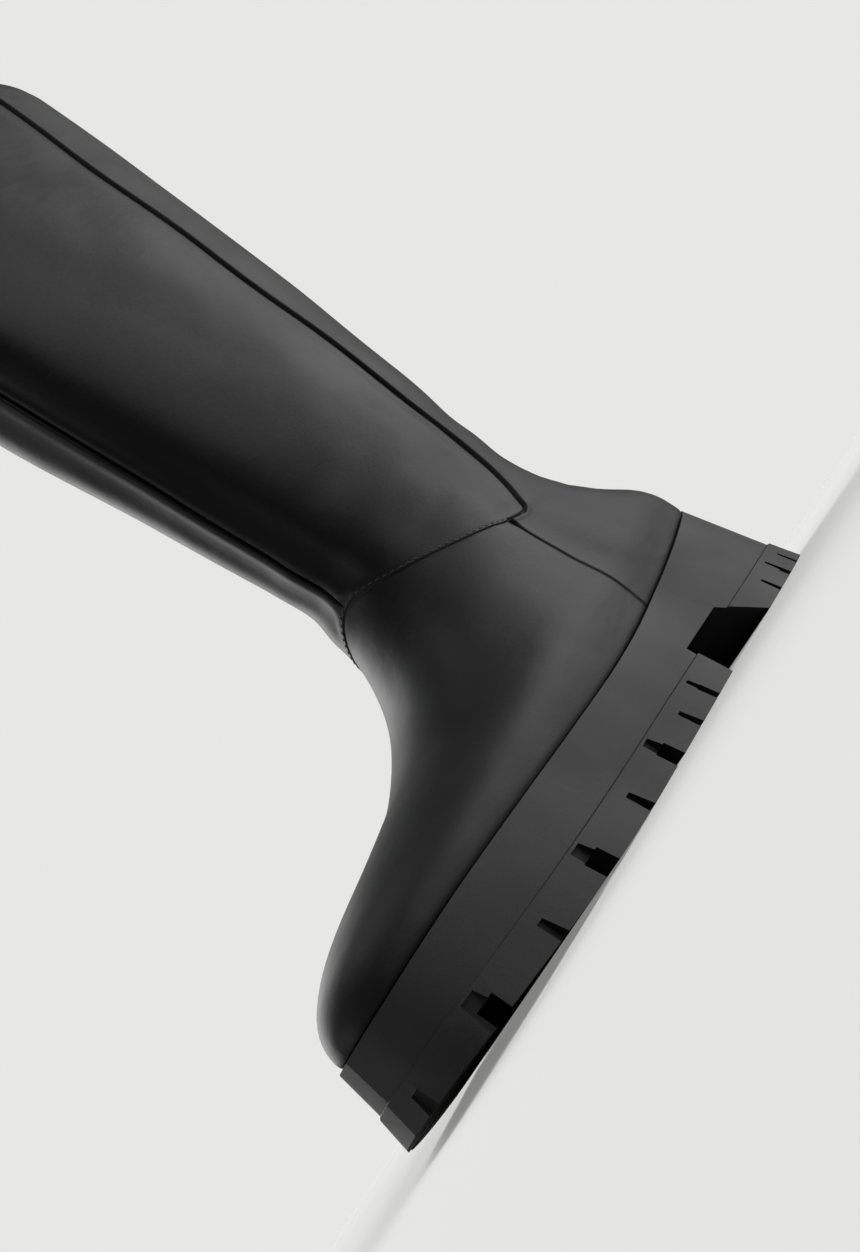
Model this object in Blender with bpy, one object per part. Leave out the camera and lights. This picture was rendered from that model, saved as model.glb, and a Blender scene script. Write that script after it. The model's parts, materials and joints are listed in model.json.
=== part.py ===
"""Tall pull-on boot, right foot: lugged outsole, hollow upper and insole.

Row frame: the toe points to -Y, the wearer's left (medial) side is +X, +Z is up
and the tread rests on z = 0. Lengths are metres.
"""

import math

import bmesh
import bpy
import numpy as np

# Driving sizes
LENGTH = 0.295
BALL_WIDTH = 0.102
TOE_SPRING = 0.006
SPRING_START = 0.66
WALL = 0.0022
GAP = 0.0003
INSOLE_THICKNESS = 0.0032
UPPER_INSET = 0.0015
LUG_DEPTH = 0.0062
HEEL_GROOVE_DEPTH = 0.0036
POCKET_DEPTH = 0.0030
INSET_DEPTH = 0.0016
INSET_WIDTH = 0.0014
MOUTH_HEIGHT = 0.0104
MOUTH_DEPTH = 0.0045
LEDGE_HEIGHT = 0.0112
LEDGE_STEP = 0.0007
DRAFT = 0.18
WAIST_HEIGHT = 0.0150
COUNTER_STEP = 0.0009

# One division of the sole's length, used by the tables below
DIV = LENGTH / 295.0

OUTLINE_POINTS = 84
UPPER_COLUMNS = 62
REAR_COLUMNS = 12

# Sole outline: station, medial and lateral offset, in divisions
OUTLINE = (
    ("heel back", 0.0, 2.0, 2.0),
    ("heel back", 1.0, 12.0, -8.0),
    ("heel back", 4.0, 20.5, -16.5),
    ("heel corner", 10.0, 29.5, -26.0),
    ("heel corner", 20.0, 37.0, -34.5),
    ("heel side", 34.0, 41.6, -40.5),
    ("heel side", 52.0, 43.6, -44.0),
    ("heel front", 74.0, 43.0, -44.8),
    ("waist", 98.0, 41.6, -41.6),
    ("waist", 120.0, 43.2, -43.0),
    ("forepart", 142.0, 45.2, -49.4),
    ("ball lateral", 170.0, 46.6, -55.6),
    ("ball", 196.0, 47.0, -55.2),
    ("ball medial", 218.0, 46.6, -50.0),
    ("toe side", 238.0, 44.8, -41.6),
    ("toe side", 257.0, 40.8, -33.0),
    ("toe corner", 273.0, 34.6, -23.5),
    ("toe corner", 284.0, 27.0, -13.6),
    ("toe tip", 291.6, 17.4, -3.0),
    ("toe tip", 295.0, 8.0, 8.0),
)

# Height of the leather line along the sole: station and height, in divisions
LEATHER_LINE = (
    ("heel back", 0.0, 46.5),
    ("heel", 25.0, 43.4),
    ("heel", 50.0, 39.4),
    ("breast", 75.0, 35.6),
    ("waist", 100.0, 32.4),
    ("forepart", 128.0, 29.8),
    ("ball", 160.0, 28.4),
    ("ball", 205.0, 28.0),
    ("toe", 250.0, 28.0),
    ("toe tip", 295.0, 27.0),
)

# Upper rows: front station and height, rear station and height, in divisions
ROWS = (
    ("toe wall", 287.8, 31.0, 10.4, 50.5),
    ("toe wall", 284.6, 35.6, 11.8, 54.0),
    ("toe top", 278.0, 40.4, 14.2, 58.0),
    ("toe top", 268.0, 44.6, 17.4, 62.0),
    ("vamp", 254.0, 48.2, 21.4, 66.0),
    ("vamp", 237.5, 51.6, 25.8, 70.5),
    ("vamp", 218.5, 55.2, 30.2, 75.0),
    ("vamp", 200.0, 59.6, 34.0, 80.0),
    ("instep", 183.0, 66.2, 36.8, 85.0),
    ("instep", 169.0, 74.2, 38.4, 90.5),
    ("instep", 157.6, 83.6, 39.0, 97.0),
    ("throat", 148.8, 94.6, 38.4, 104.5),
    ("throat", 143.2, 107.4, 36.6, 113.5),
    ("ankle", 141.2, 122.0, 33.2, 125.0),
    ("ankle", 142.2, 139.0, 28.0, 140.0),
    ("shaft", 144.8, 158.0, 22.0, 157.0),
    ("shaft", 148.2, 179.0, 16.2, 177.0),
    ("shaft", 152.2, 202.0, 10.8, 199.0),
    ("shaft", 156.2, 226.0, 5.6, 222.0),
    ("shaft", 160.0, 251.0, 0.4, 247.0),
    ("shaft", 163.4, 277.0, -4.6, 273.0),
    ("shaft", 166.0, 304.0, -9.6, 300.0),
    ("shaft", 168.0, 330.0, -14.0, 327.0),
    ("collar", 169.0, 351.0, -17.0, 349.0),
    ("collar", 169.4, 363.0, -18.4, 361.0),
)

# Shaft section: height, half width and sideways shift, in divisions
SHAFT = (
    ("instep", 70.0, 36.0, 0.0),
    ("throat", 100.0, 34.0, 0.0),
    ("ankle", 126.0, 33.0, 0.0),
    ("shaft", 180.0, 33.6, 0.4),
    ("calf", 250.0, 34.6, 1.0),
    ("collar", 363.0, 34.0, 2.0),
)

# Rear seam: height and station where the back piece meets the front ones
REAR_SEAM = (
    ("sole", 24.0, 103.0),
    ("counter", 45.0, 101.0),
    ("counter", 64.0, 100.6),
    ("joint", 78.0, 101.4),
    ("hook", 83.0, 90.0),
    ("hook", 88.0, 85.0),
    ("shaft", 104.0, 76.6),
    ("shaft", 126.0, 69.4),
    ("shaft", 169.0, 61.6),
    ("shaft", 210.0, 56.6),
    ("shaft", 260.0, 51.0),
    ("shaft", 313.0, 43.6),
    ("collar", 366.0, 36.0),
)

# Straight grooves: start and end point, start and end width, depth
GROOVES = (
    ("heel medial", 21.0, 40.0, 42.0, 13.0, 2.2, 2.0, HEEL_GROOVE_DEPTH),
    ("heel medial", 48.5, 45.0, 58.5, 13.0, 2.4, 2.2, HEEL_GROOVE_DEPTH),
    ("heel cross", 16.0, -36.0, 40.5, -9.5, 2.4, 2.4, HEEL_GROOVE_DEPTH),
    ("heel cross", 40.0, -10.0, 60.0, 13.0, 2.4, 2.4, HEEL_GROOVE_DEPTH),
    ("heel channel", 43.5, 13.2, 78.0, 12.0, 2.4, 2.4, HEEL_GROOVE_DEPTH),
    ("heel channel", 42.0, -9.2, 78.0, -12.2, 2.2, 2.4, HEEL_GROOVE_DEPTH),
    ("heel lateral", 59.0, -11.5, 48.0, -46.0, 2.2, 2.4, HEEL_GROOVE_DEPTH),
    ("forepart channel", 124.0, 11.4, 236.0, 11.8, 2.4, 2.8, LUG_DEPTH),
    ("medial 1", 143.0, 11.5, 140.0, 52.0, 2.6, 3.4, LUG_DEPTH),
    ("medial 2", 171.5, 11.5, 180.5, 52.0, 2.4, 7.4, LUG_DEPTH),
    ("medial 3", 224.5, 11.5, 231.0, 52.0, 3.6, 8.0, LUG_DEPTH),
    ("medial 4", 249.0, 4.0, 286.0, 43.0, 3.4, 6.6, LUG_DEPTH),
    ("lateral 1", 141.0, -18.0, 139.2, -56.0, 2.4, 5.6, LUG_DEPTH),
    ("lateral 2", 169.0, -23.5, 174.4, -63.0, 2.4, 9.4, LUG_DEPTH),
    ("lateral 3", 222.0, -16.5, 219.6, -58.0, 3.4, 8.6, LUG_DEPTH),
    ("lateral 4", 252.0, -4.6, 288.0, -18.0, 3.2, 5.0, LUG_DEPTH),
    ("pod rear", 126.0, -8.6, 141.5, -18.0, 2.2, 2.4, LUG_DEPTH),
    ("pod wide", 141.0, -18.0, 172.0, 11.8, 2.8, 2.8, LUG_DEPTH),
    ("pod thin", 166.0, 4.0, 207.0, -19.6, 1.6, 1.8, INSET_DEPTH),
    ("pod wide", 194.0, -13.6, 225.0, 11.8, 2.6, 2.8, LUG_DEPTH),
    ("pod wide", 207.0, -19.6, 247.0, 9.8, 2.2, 2.6, LUG_DEPTH),
    ("pod thin", 228.0, -6.6, 243.0, -10.6, 1.8, 1.8, INSET_DEPTH),
)

# Curved grooves as arcs: centre, radii, first and last angle, width, depth
ARCS = (
    ("heel pad", 44.0, 2.0, 10.2, 11.2, 90.0, 270.0, 2.2, HEEL_GROOVE_DEPTH),
    ("pod side", 172.0, 4.0, 76.0, 27.6, 186.0, 310.0, 2.8, LUG_DEPTH),
    ("pod end", 236.0, -2.6, 17.0, 14.4, -70.0, 90.0, 4.0, LUG_DEPTH),
)

# Mouths that run up the sidewall: station, side, width at the wall
MOUTHS = (
    ("heel medial", 22.5, 1.0, 2.6, 0.70),
    ("heel medial", 48.5, 1.0, 2.6, 0.80),
    ("heel lateral", 19.0, -1.0, 2.6, 0.70),
    ("heel lateral", 48.6, -1.0, 2.6, 0.80),
    ("heel notch", 36.0, 1.0, 2.4, 0.50),
    ("heel notch", 62.0, 1.0, 2.4, 0.50),
    ("heel notch", 34.0, -1.0, 2.8, 0.50),
    ("heel notch", 61.0, -1.0, 2.8, 0.50),
    ("medial 1", 140.4, 1.0, 3.4, 0.90),
    ("medial notch", 158.6, 1.0, 3.8, 0.50),
    ("medial 2", 179.3, 1.0, 7.0, 1.00),
    ("medial notch", 203.6, 1.0, 4.2, 0.50),
    ("medial 3", 230.2, 1.0, 7.6, 1.00),
    ("medial notch", 254.0, 1.0, 4.0, 0.50),
    ("medial 4", 277.0, 1.0, 7.2, 1.00),
    ("lateral 1", 139.2, -1.0, 5.6, 0.90),
    ("lateral notch", 154.2, -1.0, 4.4, 0.50),
    ("lateral 2", 173.8, -1.0, 8.8, 1.00),
    ("lateral notch", 197.0, -1.0, 4.4, 0.50),
    ("lateral 3", 219.8, -1.0, 8.0, 1.00),
    ("lateral notch", 248.0, -1.0, 4.4, 0.50),
    ("lateral 4", 282.4, -1.0, 6.0, 1.00),
    ("toe notch", 293.0, 1.0, 4.2, 0.50),
)

# Side lugs that carry an inset line: four corners, outer edge first
LUGS = (
    ("medial 1", 144.0, 42.5, 174.5, 42.5, 167.0, 14.5, 145.6, 14.5, 158.6),
    ("medial 2", 184.6, 43.4, 225.0, 43.4, 220.4, 15.0, 175.4, 14.5, 203.6),
    ("medial 3", 235.6, 42.6, 270.6, 32.8, 250.6, 12.6, 229.4, 15.4, 254.0),
    ("toe medial", 283.6, 25.4, 289.6, -5.0, 257.0, 0.6, 256.6, 6.4, 288.0),
    ("toe lateral", 277.4, -17.6, 226.0, -43.0, 226.0, -19.0, 251.0, -10.0, 248.0),
    ("lateral 2", 214.4, -49.6, 179.4, -53.6, 171.4, -27.6, 217.6, -22.4, 197.0),
    ("lateral 1", 167.4, -53.0, 143.0, -48.4, 142.4, -22.6, 165.6, -27.4, 154.2),
)

# Heel pockets: four corners
POCKETS = (
    ("medial 1", 36.0, 31.0, 46.5, 31.0, 50.0, 19.5, 44.0, 20.0),
    ("medial 2", 59.5, 31.0, 70.0, 31.0, 71.0, 18.5, 64.0, 19.0),
    ("lateral 1", 34.0, -29.5, 45.5, -31.0, 49.5, -17.0, 42.5, -16.5),
    ("lateral 2", 58.5, -33.0, 69.0, -32.0, 70.0, -18.0, 61.5, -17.5),
)

# Waist recess: rear edge of the forepart, station and offset
FOREPART_REAR = (
    ("medial", 118.6, 62.0),
    ("medial", 128.0, 13.0),
    ("centre", 129.6, 9.0),
    ("centre", 129.6, -9.0),
    ("lateral", 127.0, -16.0),
    ("lateral", 123.6, -30.0),
    ("lateral", 116.0, -62.0),
)


def column(table, index):
    """Returns one numbered column of a table in metres."""
    return np.array([row[index] for row in table]) * DIV


def smooth(x, xs, ys):
    """Monotone cubic through the points (xs, ys), for x a number or array."""
    xs = np.asarray(xs, float)
    ys = np.asarray(ys, float)
    h = np.diff(xs)
    d = np.diff(ys) / h
    m = np.zeros(len(xs))
    m[0], m[-1] = d[0], d[-1]
    for k in range(1, len(xs) - 1):
        if d[k - 1] * d[k] > 0:
            w1 = 2 * h[k] + h[k - 1]
            w2 = h[k] + 2 * h[k - 1]
            m[k] = (w1 + w2) / (w1 / d[k - 1] + w2 / d[k])
    x = np.clip(np.asarray(x, float), xs[0], xs[-1])
    k = np.clip(np.searchsorted(xs, x, side="right") - 1, 0, len(xs) - 2)
    t = (x - xs[k]) / h[k]
    t2 = t * t
    t3 = t2 * t
    a = (2 * t3 - 3 * t2 + 1) * ys[k] + (t3 - 2 * t2 + t) * h[k] * m[k]
    b = (3 * t2 - 2 * t3) * ys[k + 1] + (t3 - t2) * h[k] * m[k + 1]
    return a + b


def ease(x, low, high):
    """Smooth step from 0 at low to 1 at high."""
    t = np.clip((np.asarray(x, float) - low) / (high - low), 0.0, 1.0)
    return t * t * (3.0 - 2.0 * t)


def sole_top(s):
    """Height of the leather line at station s."""
    return smooth(s, column(LEATHER_LINE, 1), column(LEATHER_LINE, 2))


def spring(s):
    """Lift of the tread at station s."""
    t = np.clip((np.asarray(s, float) / LENGTH - SPRING_START) / (1 - SPRING_START), 0, 1)
    return TOE_SPRING * t * t


def axis(s):
    """Sideways place of the boot's middle line at station s."""
    share = np.asarray(s, float) / LENGTH
    return (2.0 - 2.0 * ease(share, 0.0, 0.25) + 7.0 * ease(share, 0.5, 0.98)) * DIV


def outline(count, inset, height=0.0):
    """Closed sole outline as stations and offsets, starting at the heel back.

    Args:
        count: number of points, even; point i and count - i share a station.
        inset: distance inside the drafted wall.
        height: height of the outline, or None for the leather line.

    Returns:
        Two arrays, stations and offsets.
    """
    stations = column(OUTLINE, 1)
    half = count // 2
    phi = np.linspace(0.0, math.pi, half + 1)
    share = 0.5 * (1.0 - np.cos(phi))
    share = 0.72 * share + 0.28 * phi / math.pi
    place = share * LENGTH
    arc = np.sqrt(np.maximum(stations * (LENGTH - stations), 0.0))
    offsets = []
    for index in (2, 3):
        edge = column(OUTLINE, index)
        mid = axis(stations)
        ratio = np.ones(len(arc))
        ratio[1:-1] = (edge - mid)[1:-1] / arc[1:-1]
        ratio[0], ratio[-1] = ratio[1], ratio[-2]
        here = np.sqrt(np.maximum(place * (LENGTH - place), 0.0))
        offsets.append(smooth(place, stations, ratio) * here)
    level = sole_top(place) if height is None else height
    total = inset + DRAFT * level
    shrink = 1.0 - total / (0.46 * BALL_WIDTH)
    s = place + total * (1.0 - 2.0 * place / LENGTH)
    mid = axis(s)
    medial = mid + offsets[0] * shrink
    lateral = mid + offsets[1] * shrink
    order = list(range(half, 0, -1))
    all_s = np.concatenate([s, s[order][1:]])
    all_w = np.concatenate([medial, lateral[order][1:]])
    return all_s, all_w


def half_widths(s):
    """Medial and lateral reach of the upper's lower edge from the axis."""
    os, ow = outline(400, UPPER_INSET, None)
    half = 200
    medial = np.interp(s, os[: half + 1], ow[: half + 1]) - axis(s)
    lateral = axis(s) - np.interp(s, os[half:][::-1], ow[half:][::-1])
    return medial, lateral


def to_row(s, w, z):
    """Point of the row frame for station, offset and height."""
    return (w, 0.5 * LENGTH - s, z)


def make_object(name, vertices, faces):
    """Links a new mesh object."""
    mesh = bpy.data.meshes.new(name)
    mesh.from_pydata([tuple(v) for v in vertices], [], faces)
    mesh.update()
    item = bpy.data.objects.new(name, mesh)
    bpy.context.scene.collection.objects.link(item)
    return item


def outward(item):
    """Turns every face outward and drops doubled points."""
    bm = bmesh.new()
    bm.from_mesh(item.data)
    bmesh.ops.remove_doubles(bm, verts=bm.verts, dist=0.00002)
    bmesh.ops.dissolve_degenerate(bm, edges=bm.edges, dist=0.00001)
    flakes = [f for f in bm.faces if all(len(e.link_faces) == 1 for e in f.edges)]
    bmesh.ops.delete(bm, geom=flakes, context="FACES")
    bmesh.ops.recalc_face_normals(bm, faces=bm.faces)
    bm.to_mesh(item.data)
    bm.free()


def prism(name, low, high, z_low, z_high):
    """Closed prism between two plan polygons of equal length."""
    n = len(low)
    vertices = [to_row(s, w, z_low) for s, w in low]
    vertices += [to_row(s, w, z_high) for s, w in high]
    faces = [tuple(range(n)), tuple(range(2 * n - 1, n - 1, -1))]
    faces += [(i, n + i, n + (i + 1) % n, (i + 1) % n) for i in range(n)]
    item = make_object(name, vertices, faces)
    outward(item)
    return item


def ribbon(points, widths):
    """Plan polygon of a band along points with the given widths."""
    left = []
    right = []
    for k, (s, w) in enumerate(points):
        a = points[max(k - 1, 0)]
        b = points[min(k + 1, len(points) - 1)]
        ds, dw = b[0] - a[0], b[1] - a[1]
        size = math.hypot(ds, dw)
        ns, nw = -dw / size, ds / size
        h = 0.5 * widths[k]
        left.append((s + ns * h, w + nw * h))
        right.append((s - ns * h, w - nw * h))
    return left + right[::-1]


def straight_grooves():
    """Cutters for the straight grooves."""
    items = []
    for name, s0, w0, s1, w1, a, b, depth in GROOVES:
        ends = [(s0 * DIV, w0 * DIV), (s1 * DIV, w1 * DIV)]
        plan = ribbon(ends, [a * DIV, b * DIV])
        items.append(prism(name, plan, plan, -0.002, depth))
    return items


def curved_grooves():
    """Cutters for the grooves that follow an arc."""
    items = []
    for name, cs, cw, rs, rw, first, last, width, depth in ARCS:
        steps = 12
        points = []
        for k in range(steps + 1):
            a = math.radians(first + (last - first) * k / steps)
            points.append(((cs + rs * math.cos(a)) * DIV, (cw + rw * math.sin(a)) * DIV))
        plan = ribbon(points, [width * DIV] * len(points))
        items.append(prism(name, plan, plan, -0.002, depth))
    return items


def edge_point(s, side):
    """Offset and inward unit direction of the sole outline at a station."""
    os, ow = outline(400, 0.0)
    half = 200
    if side > 0:
        ps, pw = os[: half + 1], ow[: half + 1]
    else:
        ps, pw = os[half:][::-1], ow[half:][::-1]
    reach = 0.004
    w0 = np.interp(s, ps, pw)
    ds = 2 * reach
    dw = np.interp(s + reach, ps, pw) - np.interp(s - reach, ps, pw)
    size = math.hypot(ds, dw)
    inward = (side * dw / size, -side * ds / size)
    return w0, inward, (ds / size, dw / size)


def mouths():
    """Cutters where grooves and notches run up the sidewall."""
    items = []
    for name, station, side, width, share in MOUTHS:
        s = station * DIV
        w, inward, along = edge_point(s, side)
        h = 0.5 * width * DIV
        depth = MOUTH_DEPTH * (0.6 + 0.4 * share)
        rise = MOUTH_HEIGHT * (0.35 + 0.65 * share)

        def corner(t, d):
            return (s + along[0] * t + inward[0] * d, w + along[1] * t + inward[1] * d)

        low = [corner(-h, -0.004), corner(h, -0.004), corner(h, depth), corner(-h, depth)]
        t = 0.60 * h
        back = DRAFT * rise + 0.0012
        high = [corner(-t, -0.004), corner(t, -0.004), corner(t, back), corner(-t, back)]
        items.append(prism(name, low, high, -0.002, rise))
    return items


def inset_line(name, row):
    """Cutter for the thin line inside one lug, with a jog at its notch."""
    corners = [(row[k] * DIV, row[k + 1] * DIV) for k in (0, 2, 4, 6)]
    notch = row[8] * DIV
    middle = np.mean(np.array(corners), axis=0)
    start = np.array(corners[0])
    end = np.array(corners[1])
    run = (end - start) / np.linalg.norm(end - start)
    side = middle - start
    inward = side - run * float(side @ run)
    inward = inward / np.linalg.norm(inward)
    reach = 0.5 * float(np.linalg.norm(end - start))
    if abs(run[0]) > 0.4:
        reach = (notch - start[0]) / run[0]
    jog = 0.0052
    half = 0.0040
    mid = start + run * reach
    path = [start, mid - run * (half + 0.0015), mid - run * half + inward * jog]
    path += [mid + run * half + inward * jog, mid + run * (half + 0.0015), end]
    path += [np.array(corners[2]), np.array(corners[3])]

    def shrink(points, amount):
        n = len(points)
        area = sum(
            points[i][0] * points[(i + 1) % n][1] - points[(i + 1) % n][0] * points[i][1]
            for i in range(n)
        )
        turn = 1.0 if area > 0 else -1.0
        out = []
        for i in range(n):
            a, b, c = points[i - 1], points[i], points[(i + 1) % n]
            d1 = (b - a) / np.linalg.norm(b - a)
            d2 = (c - b) / np.linalg.norm(c - b)
            n1 = turn * np.array([-d1[1], d1[0]])
            n2 = turn * np.array([-d2[1], d2[0]])
            k = n1 + n2
            out.append(b + k * (amount / max(float(k @ n1), 0.35)))
        return out

    outer = shrink(path, 0.0012)
    inner = shrink(path, 0.0012 + INSET_WIDTH)
    n = len(outer)
    vertices = []
    for z in (-0.002, INSET_DEPTH):
        vertices += [to_row(p[0], p[1], z) for p in outer]
        vertices += [to_row(p[0], p[1], z) for p in inner]
    faces = []
    for i in range(n):
        j = (i + 1) % n
        faces.append((i, j, n + j, n + i))
        faces.append((2 * n + i, 3 * n + i, 3 * n + j, 2 * n + j))
        faces.append((i, 2 * n + i, 2 * n + j, j))
        faces.append((n + i, n + j, 3 * n + j, 3 * n + i))
    item = make_object(name, vertices, faces)
    outward(item)
    return item


def pockets():
    """Cutters for the heel pockets."""
    items = []
    for row in POCKETS:
        plan = [(row[k] * DIV, row[k + 1] * DIV) for k in (1, 3, 5, 7)]
        items.append(prism("pocket " + row[0], plan, plan, -0.002, POCKET_DEPTH))
    return items


def waist():
    """Cutters for the waist recess and the set-back centre of the breast."""
    front = [(row[1] * DIV, row[2] * DIV) for row in FOREPART_REAR]
    low = [(76.0 * DIV, -0.062), (76.0 * DIV, 0.062)] + front
    high = [(88.0 * DIV, -0.062), (88.0 * DIV, 0.062)]
    high += [(s - 2.5 * DIV, w) for s, w in front]
    # the recess is carried below the tread at the slope of its walls
    span = WAIST_HEIGHT / (WAIST_HEIGHT + 0.002)
    low2 = [(h[0] + (a[0] - h[0]) / span, a[1]) for a, h in zip(low, high)]
    items = [prism("waist recess", low2, high, -0.002, WAIST_HEIGHT)]
    pad = [(72.0, -12.2), (84.0, -12.2), (84.0, 12.0), (72.0, 12.0)]
    pad = [(s * DIV, w * DIV) for s, w in pad]
    up = [(s + 10.0 * DIV, w) for s, w in pad]
    items.append(prism("breast centre", pad, up, -0.002, WAIST_HEIGHT - 0.001))
    return items


def cut(item, cutters):
    """Subtracts the cutters one by one and removes them."""
    for cutter in cutters:
        cutter.hide_render = True
        cutter.display_type = "WIRE"
        modifier = item.modifiers.new("cut", "BOOLEAN")
        modifier.operation = "DIFFERENCE"
        modifier.solver = "EXACT"
        modifier.object = cutter
        graph = bpy.context.evaluated_depsgraph_get()
        mesh = bpy.data.meshes.new_from_object(item.evaluated_get(graph))
        item.modifiers.remove(modifier)
        old = item.data
        item.data = mesh
        bpy.data.meshes.remove(old)
        used = cutter.data
        bpy.data.objects.remove(cutter)
        bpy.data.meshes.remove(used)


def build_outsole():
    """One moulded sole: body in levels, grooves cut, then the toe sprung."""
    n = OUTLINE_POINTS
    levels = (
        (0.0, 0.0),
        (LEDGE_HEIGHT, 0.0),
        (LEDGE_HEIGHT + 0.0004, LEDGE_STEP),
        (None, 0.0),
    )
    vertices = []
    for z, inset in levels:
        s, w = outline(n, inset, z)
        for a, b in zip(s, w):
            height = float(sole_top(a)) if z is None else z
            vertices.append(to_row(a, b, height))
    faces = []
    for k in range(len(levels) - 1):
        for i in range(n):
            j = (i + 1) % n
            faces.append((k * n + i, k * n + j, (k + 1) * n + j, (k + 1) * n + i))
    half = n // 2
    for base in (0, (len(levels) - 1) * n):
        for i in range(half):
            a, b = base + i, base + i + 1
            c, d = base + (n - i - 1) % n, base + (n - i) % n
            if i == 0:
                faces.append((a, b, c))
            elif i == half - 1:
                faces.append((a, b, d))
            else:
                faces.append((a, b, c, d))
    item = make_object("outsole", vertices, faces)
    outward(item)
    cutters = waist() + straight_grooves() + curved_grooves() + mouths() + pockets()
    cutters += [inset_line("line " + row[0], row[1:]) for row in LUGS]
    cut(item, cutters)
    outward(item)
    count = len(item.data.vertices)
    place = np.empty(count * 3)
    item.data.vertices.foreach_get("co", place)
    place = place.reshape(-1, 3)
    s = 0.5 * LENGTH - place[:, 1]
    top = sole_top(s)
    lift = spring(s)
    place[:, 2] = lift + place[:, 2] * (1.0 - lift / top)
    item.data.vertices.foreach_set("co", place.ravel())
    item.data.update()
    return item


def seam_share(front, rear):
    """Share along a row's chord where the rear seam crosses it."""
    heights = column(REAR_SEAM, 1)
    stations = column(REAR_SEAM, 2)
    low, high = 0.0, 1.0
    for _ in range(40):
        mid = 0.5 * (low + high)
        s = rear[0] + (front[0] - rear[0]) * mid
        z = rear[1] + (front[1] - rear[1]) * mid
        if s < smooth(z, heights, stations):
            low = mid
        else:
            high = mid
    return 0.5 * (low + high)


def row_shares(cross):
    """Chord shares of one side's columns, two of them hugging the seam.

    Args:
        cross: share of the chord where the seam lies.

    Returns:
        Shares from the rear (0) to the front (1), half a loop of them.
    """
    half = UPPER_COLUMNS // 2
    behind = REAR_COLUMNS
    gap = 0.006
    angle = math.acos(1.0 - 2.0 * np.clip(cross, 0.05, 0.95))
    back = np.linspace(0.0, angle - gap, behind)
    front = np.linspace(angle + gap, math.pi, half - behind + 1)
    phi = np.concatenate([back, front])
    return 0.5 * (1.0 - np.cos(phi))


def toe_tip():
    """Station of the leather's foremost point on the sole."""
    return LENGTH - UPPER_INSET - DRAFT * float(sole_top(LENGTH))


def front_profile():
    """Front and top profile of the upper, toe to collar, as close points."""
    tip = toe_tip()
    stations = np.concatenate([[tip], column(ROWS, 1)])
    heights = np.concatenate([[float(sole_top(tip))], column(ROWS, 2)])
    knots = np.arange(len(stations), dtype=float)
    fine = np.linspace(0.0, knots[-1], 400)
    return np.stack([smooth(fine, knots, stations), smooth(fine, knots, heights)], axis=1)


def section_width(s, z, share, side, blend, front, rear_s, rear_z):
    """Distance of the leather from the axis at one point of a row.

    Args:
        s, z: station and height of the point.
        share: place along the row's chord, 0 at the rear.
        side: 1 for medial, -1 for lateral.
        blend: 0 where the last sets the width, 1 where the shaft does.
        front: front profile points.
        rear_s, rear_z: rear profile.

    Returns:
        The distance in metres.
    """
    medial, lateral = half_widths(max(s, 46.0 * DIV))
    reach = medial if side > 0 else lateral
    lean = 1.0 - 0.09 * float(ease(z, 45.0 * DIV, 110.0 * DIV))
    base = float(sole_top(s))
    below = float(np.min(np.hypot(front[:, 0] - s, front[:, 1] - z)))
    full = min(below + max(z - base, 0.0), 52.0 * DIV)
    tau = min(max(1.0 - below / max(full, 1e-6), 0.0), 1.0)
    dome = (1.0 - tau**2.2) ** (1.0 / 2.05)
    depth = s - float(np.interp(z, rear_z, rear_s))
    d = min(max(depth / (37.0 * DIV), 0.0), 1.0)
    heel = (1.0 - (1.0 - d) ** 2.2) ** (1.0 / 2.2)
    rise = min(max(z - base, 0.0) / (24.0 * DIV), 1.0)
    bulge = 1.0 + 0.03 * math.sin(math.pi * rise)
    foot = reach * lean * dome * heel * bulge
    half = float(smooth(z, column(SHAFT, 1), column(SHAFT, 2)))
    oval = max(1.0 - abs(2.0 * share - 1.0) ** 2.2, 0.0) ** (1.0 / 2.2)
    return (1.0 - blend) * foot + blend * half * oval


def upper_grid():
    """Outer surface of the upper as rows of points, from sole to collar."""
    f_s, f_z = column(ROWS, 1), column(ROWS, 2)
    r_s, r_z = column(ROWS, 3), column(ROWS, 4)
    tip = toe_tip()
    front = front_profile()
    rows = []
    heel = 9.9 * DIV
    starts = [(tip, float(sole_top(tip)), heel, float(sole_top(heel)))]
    starts += list(zip(f_s, f_z, r_s, r_z))
    rear_z = np.concatenate([[starts[0][3]], r_z])
    rear_s = np.concatenate([[heel], r_s])
    for k, (fs, fz, rs, rz) in enumerate(starts):
        cross = seam_share((fs, fz), (rs, rz))
        shares = row_shares(cross)
        blend = float(ease(k, 7.0, 15.0))
        shift = float(smooth(rz, column(SHAFT, 1), column(SHAFT, 3)))
        points = []
        n = len(shares)
        loop = [(i, 1.0) for i in range(n)] + [(i, -1.0) for i in range(n - 2, 0, -1)]
        for i, side in loop:
            share = float(shares[i])
            s = rs + (fs - rs) * share
            z = rz + (fz - rz) * share
            if k == 0:
                z = float(sole_top(s))
            width = section_width(s, z, share, side, blend, front, rear_s, rear_z)
            if i == 0 or i == n - 1:
                width = 0.0
            middle = float(axis(s)) * (1.0 - blend) + blend * shift
            step = COUNTER_STEP if i < REAR_COLUMNS else 0.0
            points.append([s, middle + side * width, z, step])
        rows.append(points)
    return np.array(rows)


def grid_normals(points):
    """Outward normals of a closed-loop grid."""
    along = np.roll(points, -1, axis=1) - np.roll(points, 1, axis=1)
    up = np.gradient(points, axis=0)
    normal = np.cross(along, up)
    size = np.linalg.norm(normal, axis=2, keepdims=True)
    normal = normal / np.maximum(size, 1e-12)
    centre = points.mean(axis=1, keepdims=True)
    facing = np.sum(normal * (points - centre), axis=2).mean()
    return normal if facing > 0 else -normal


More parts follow.
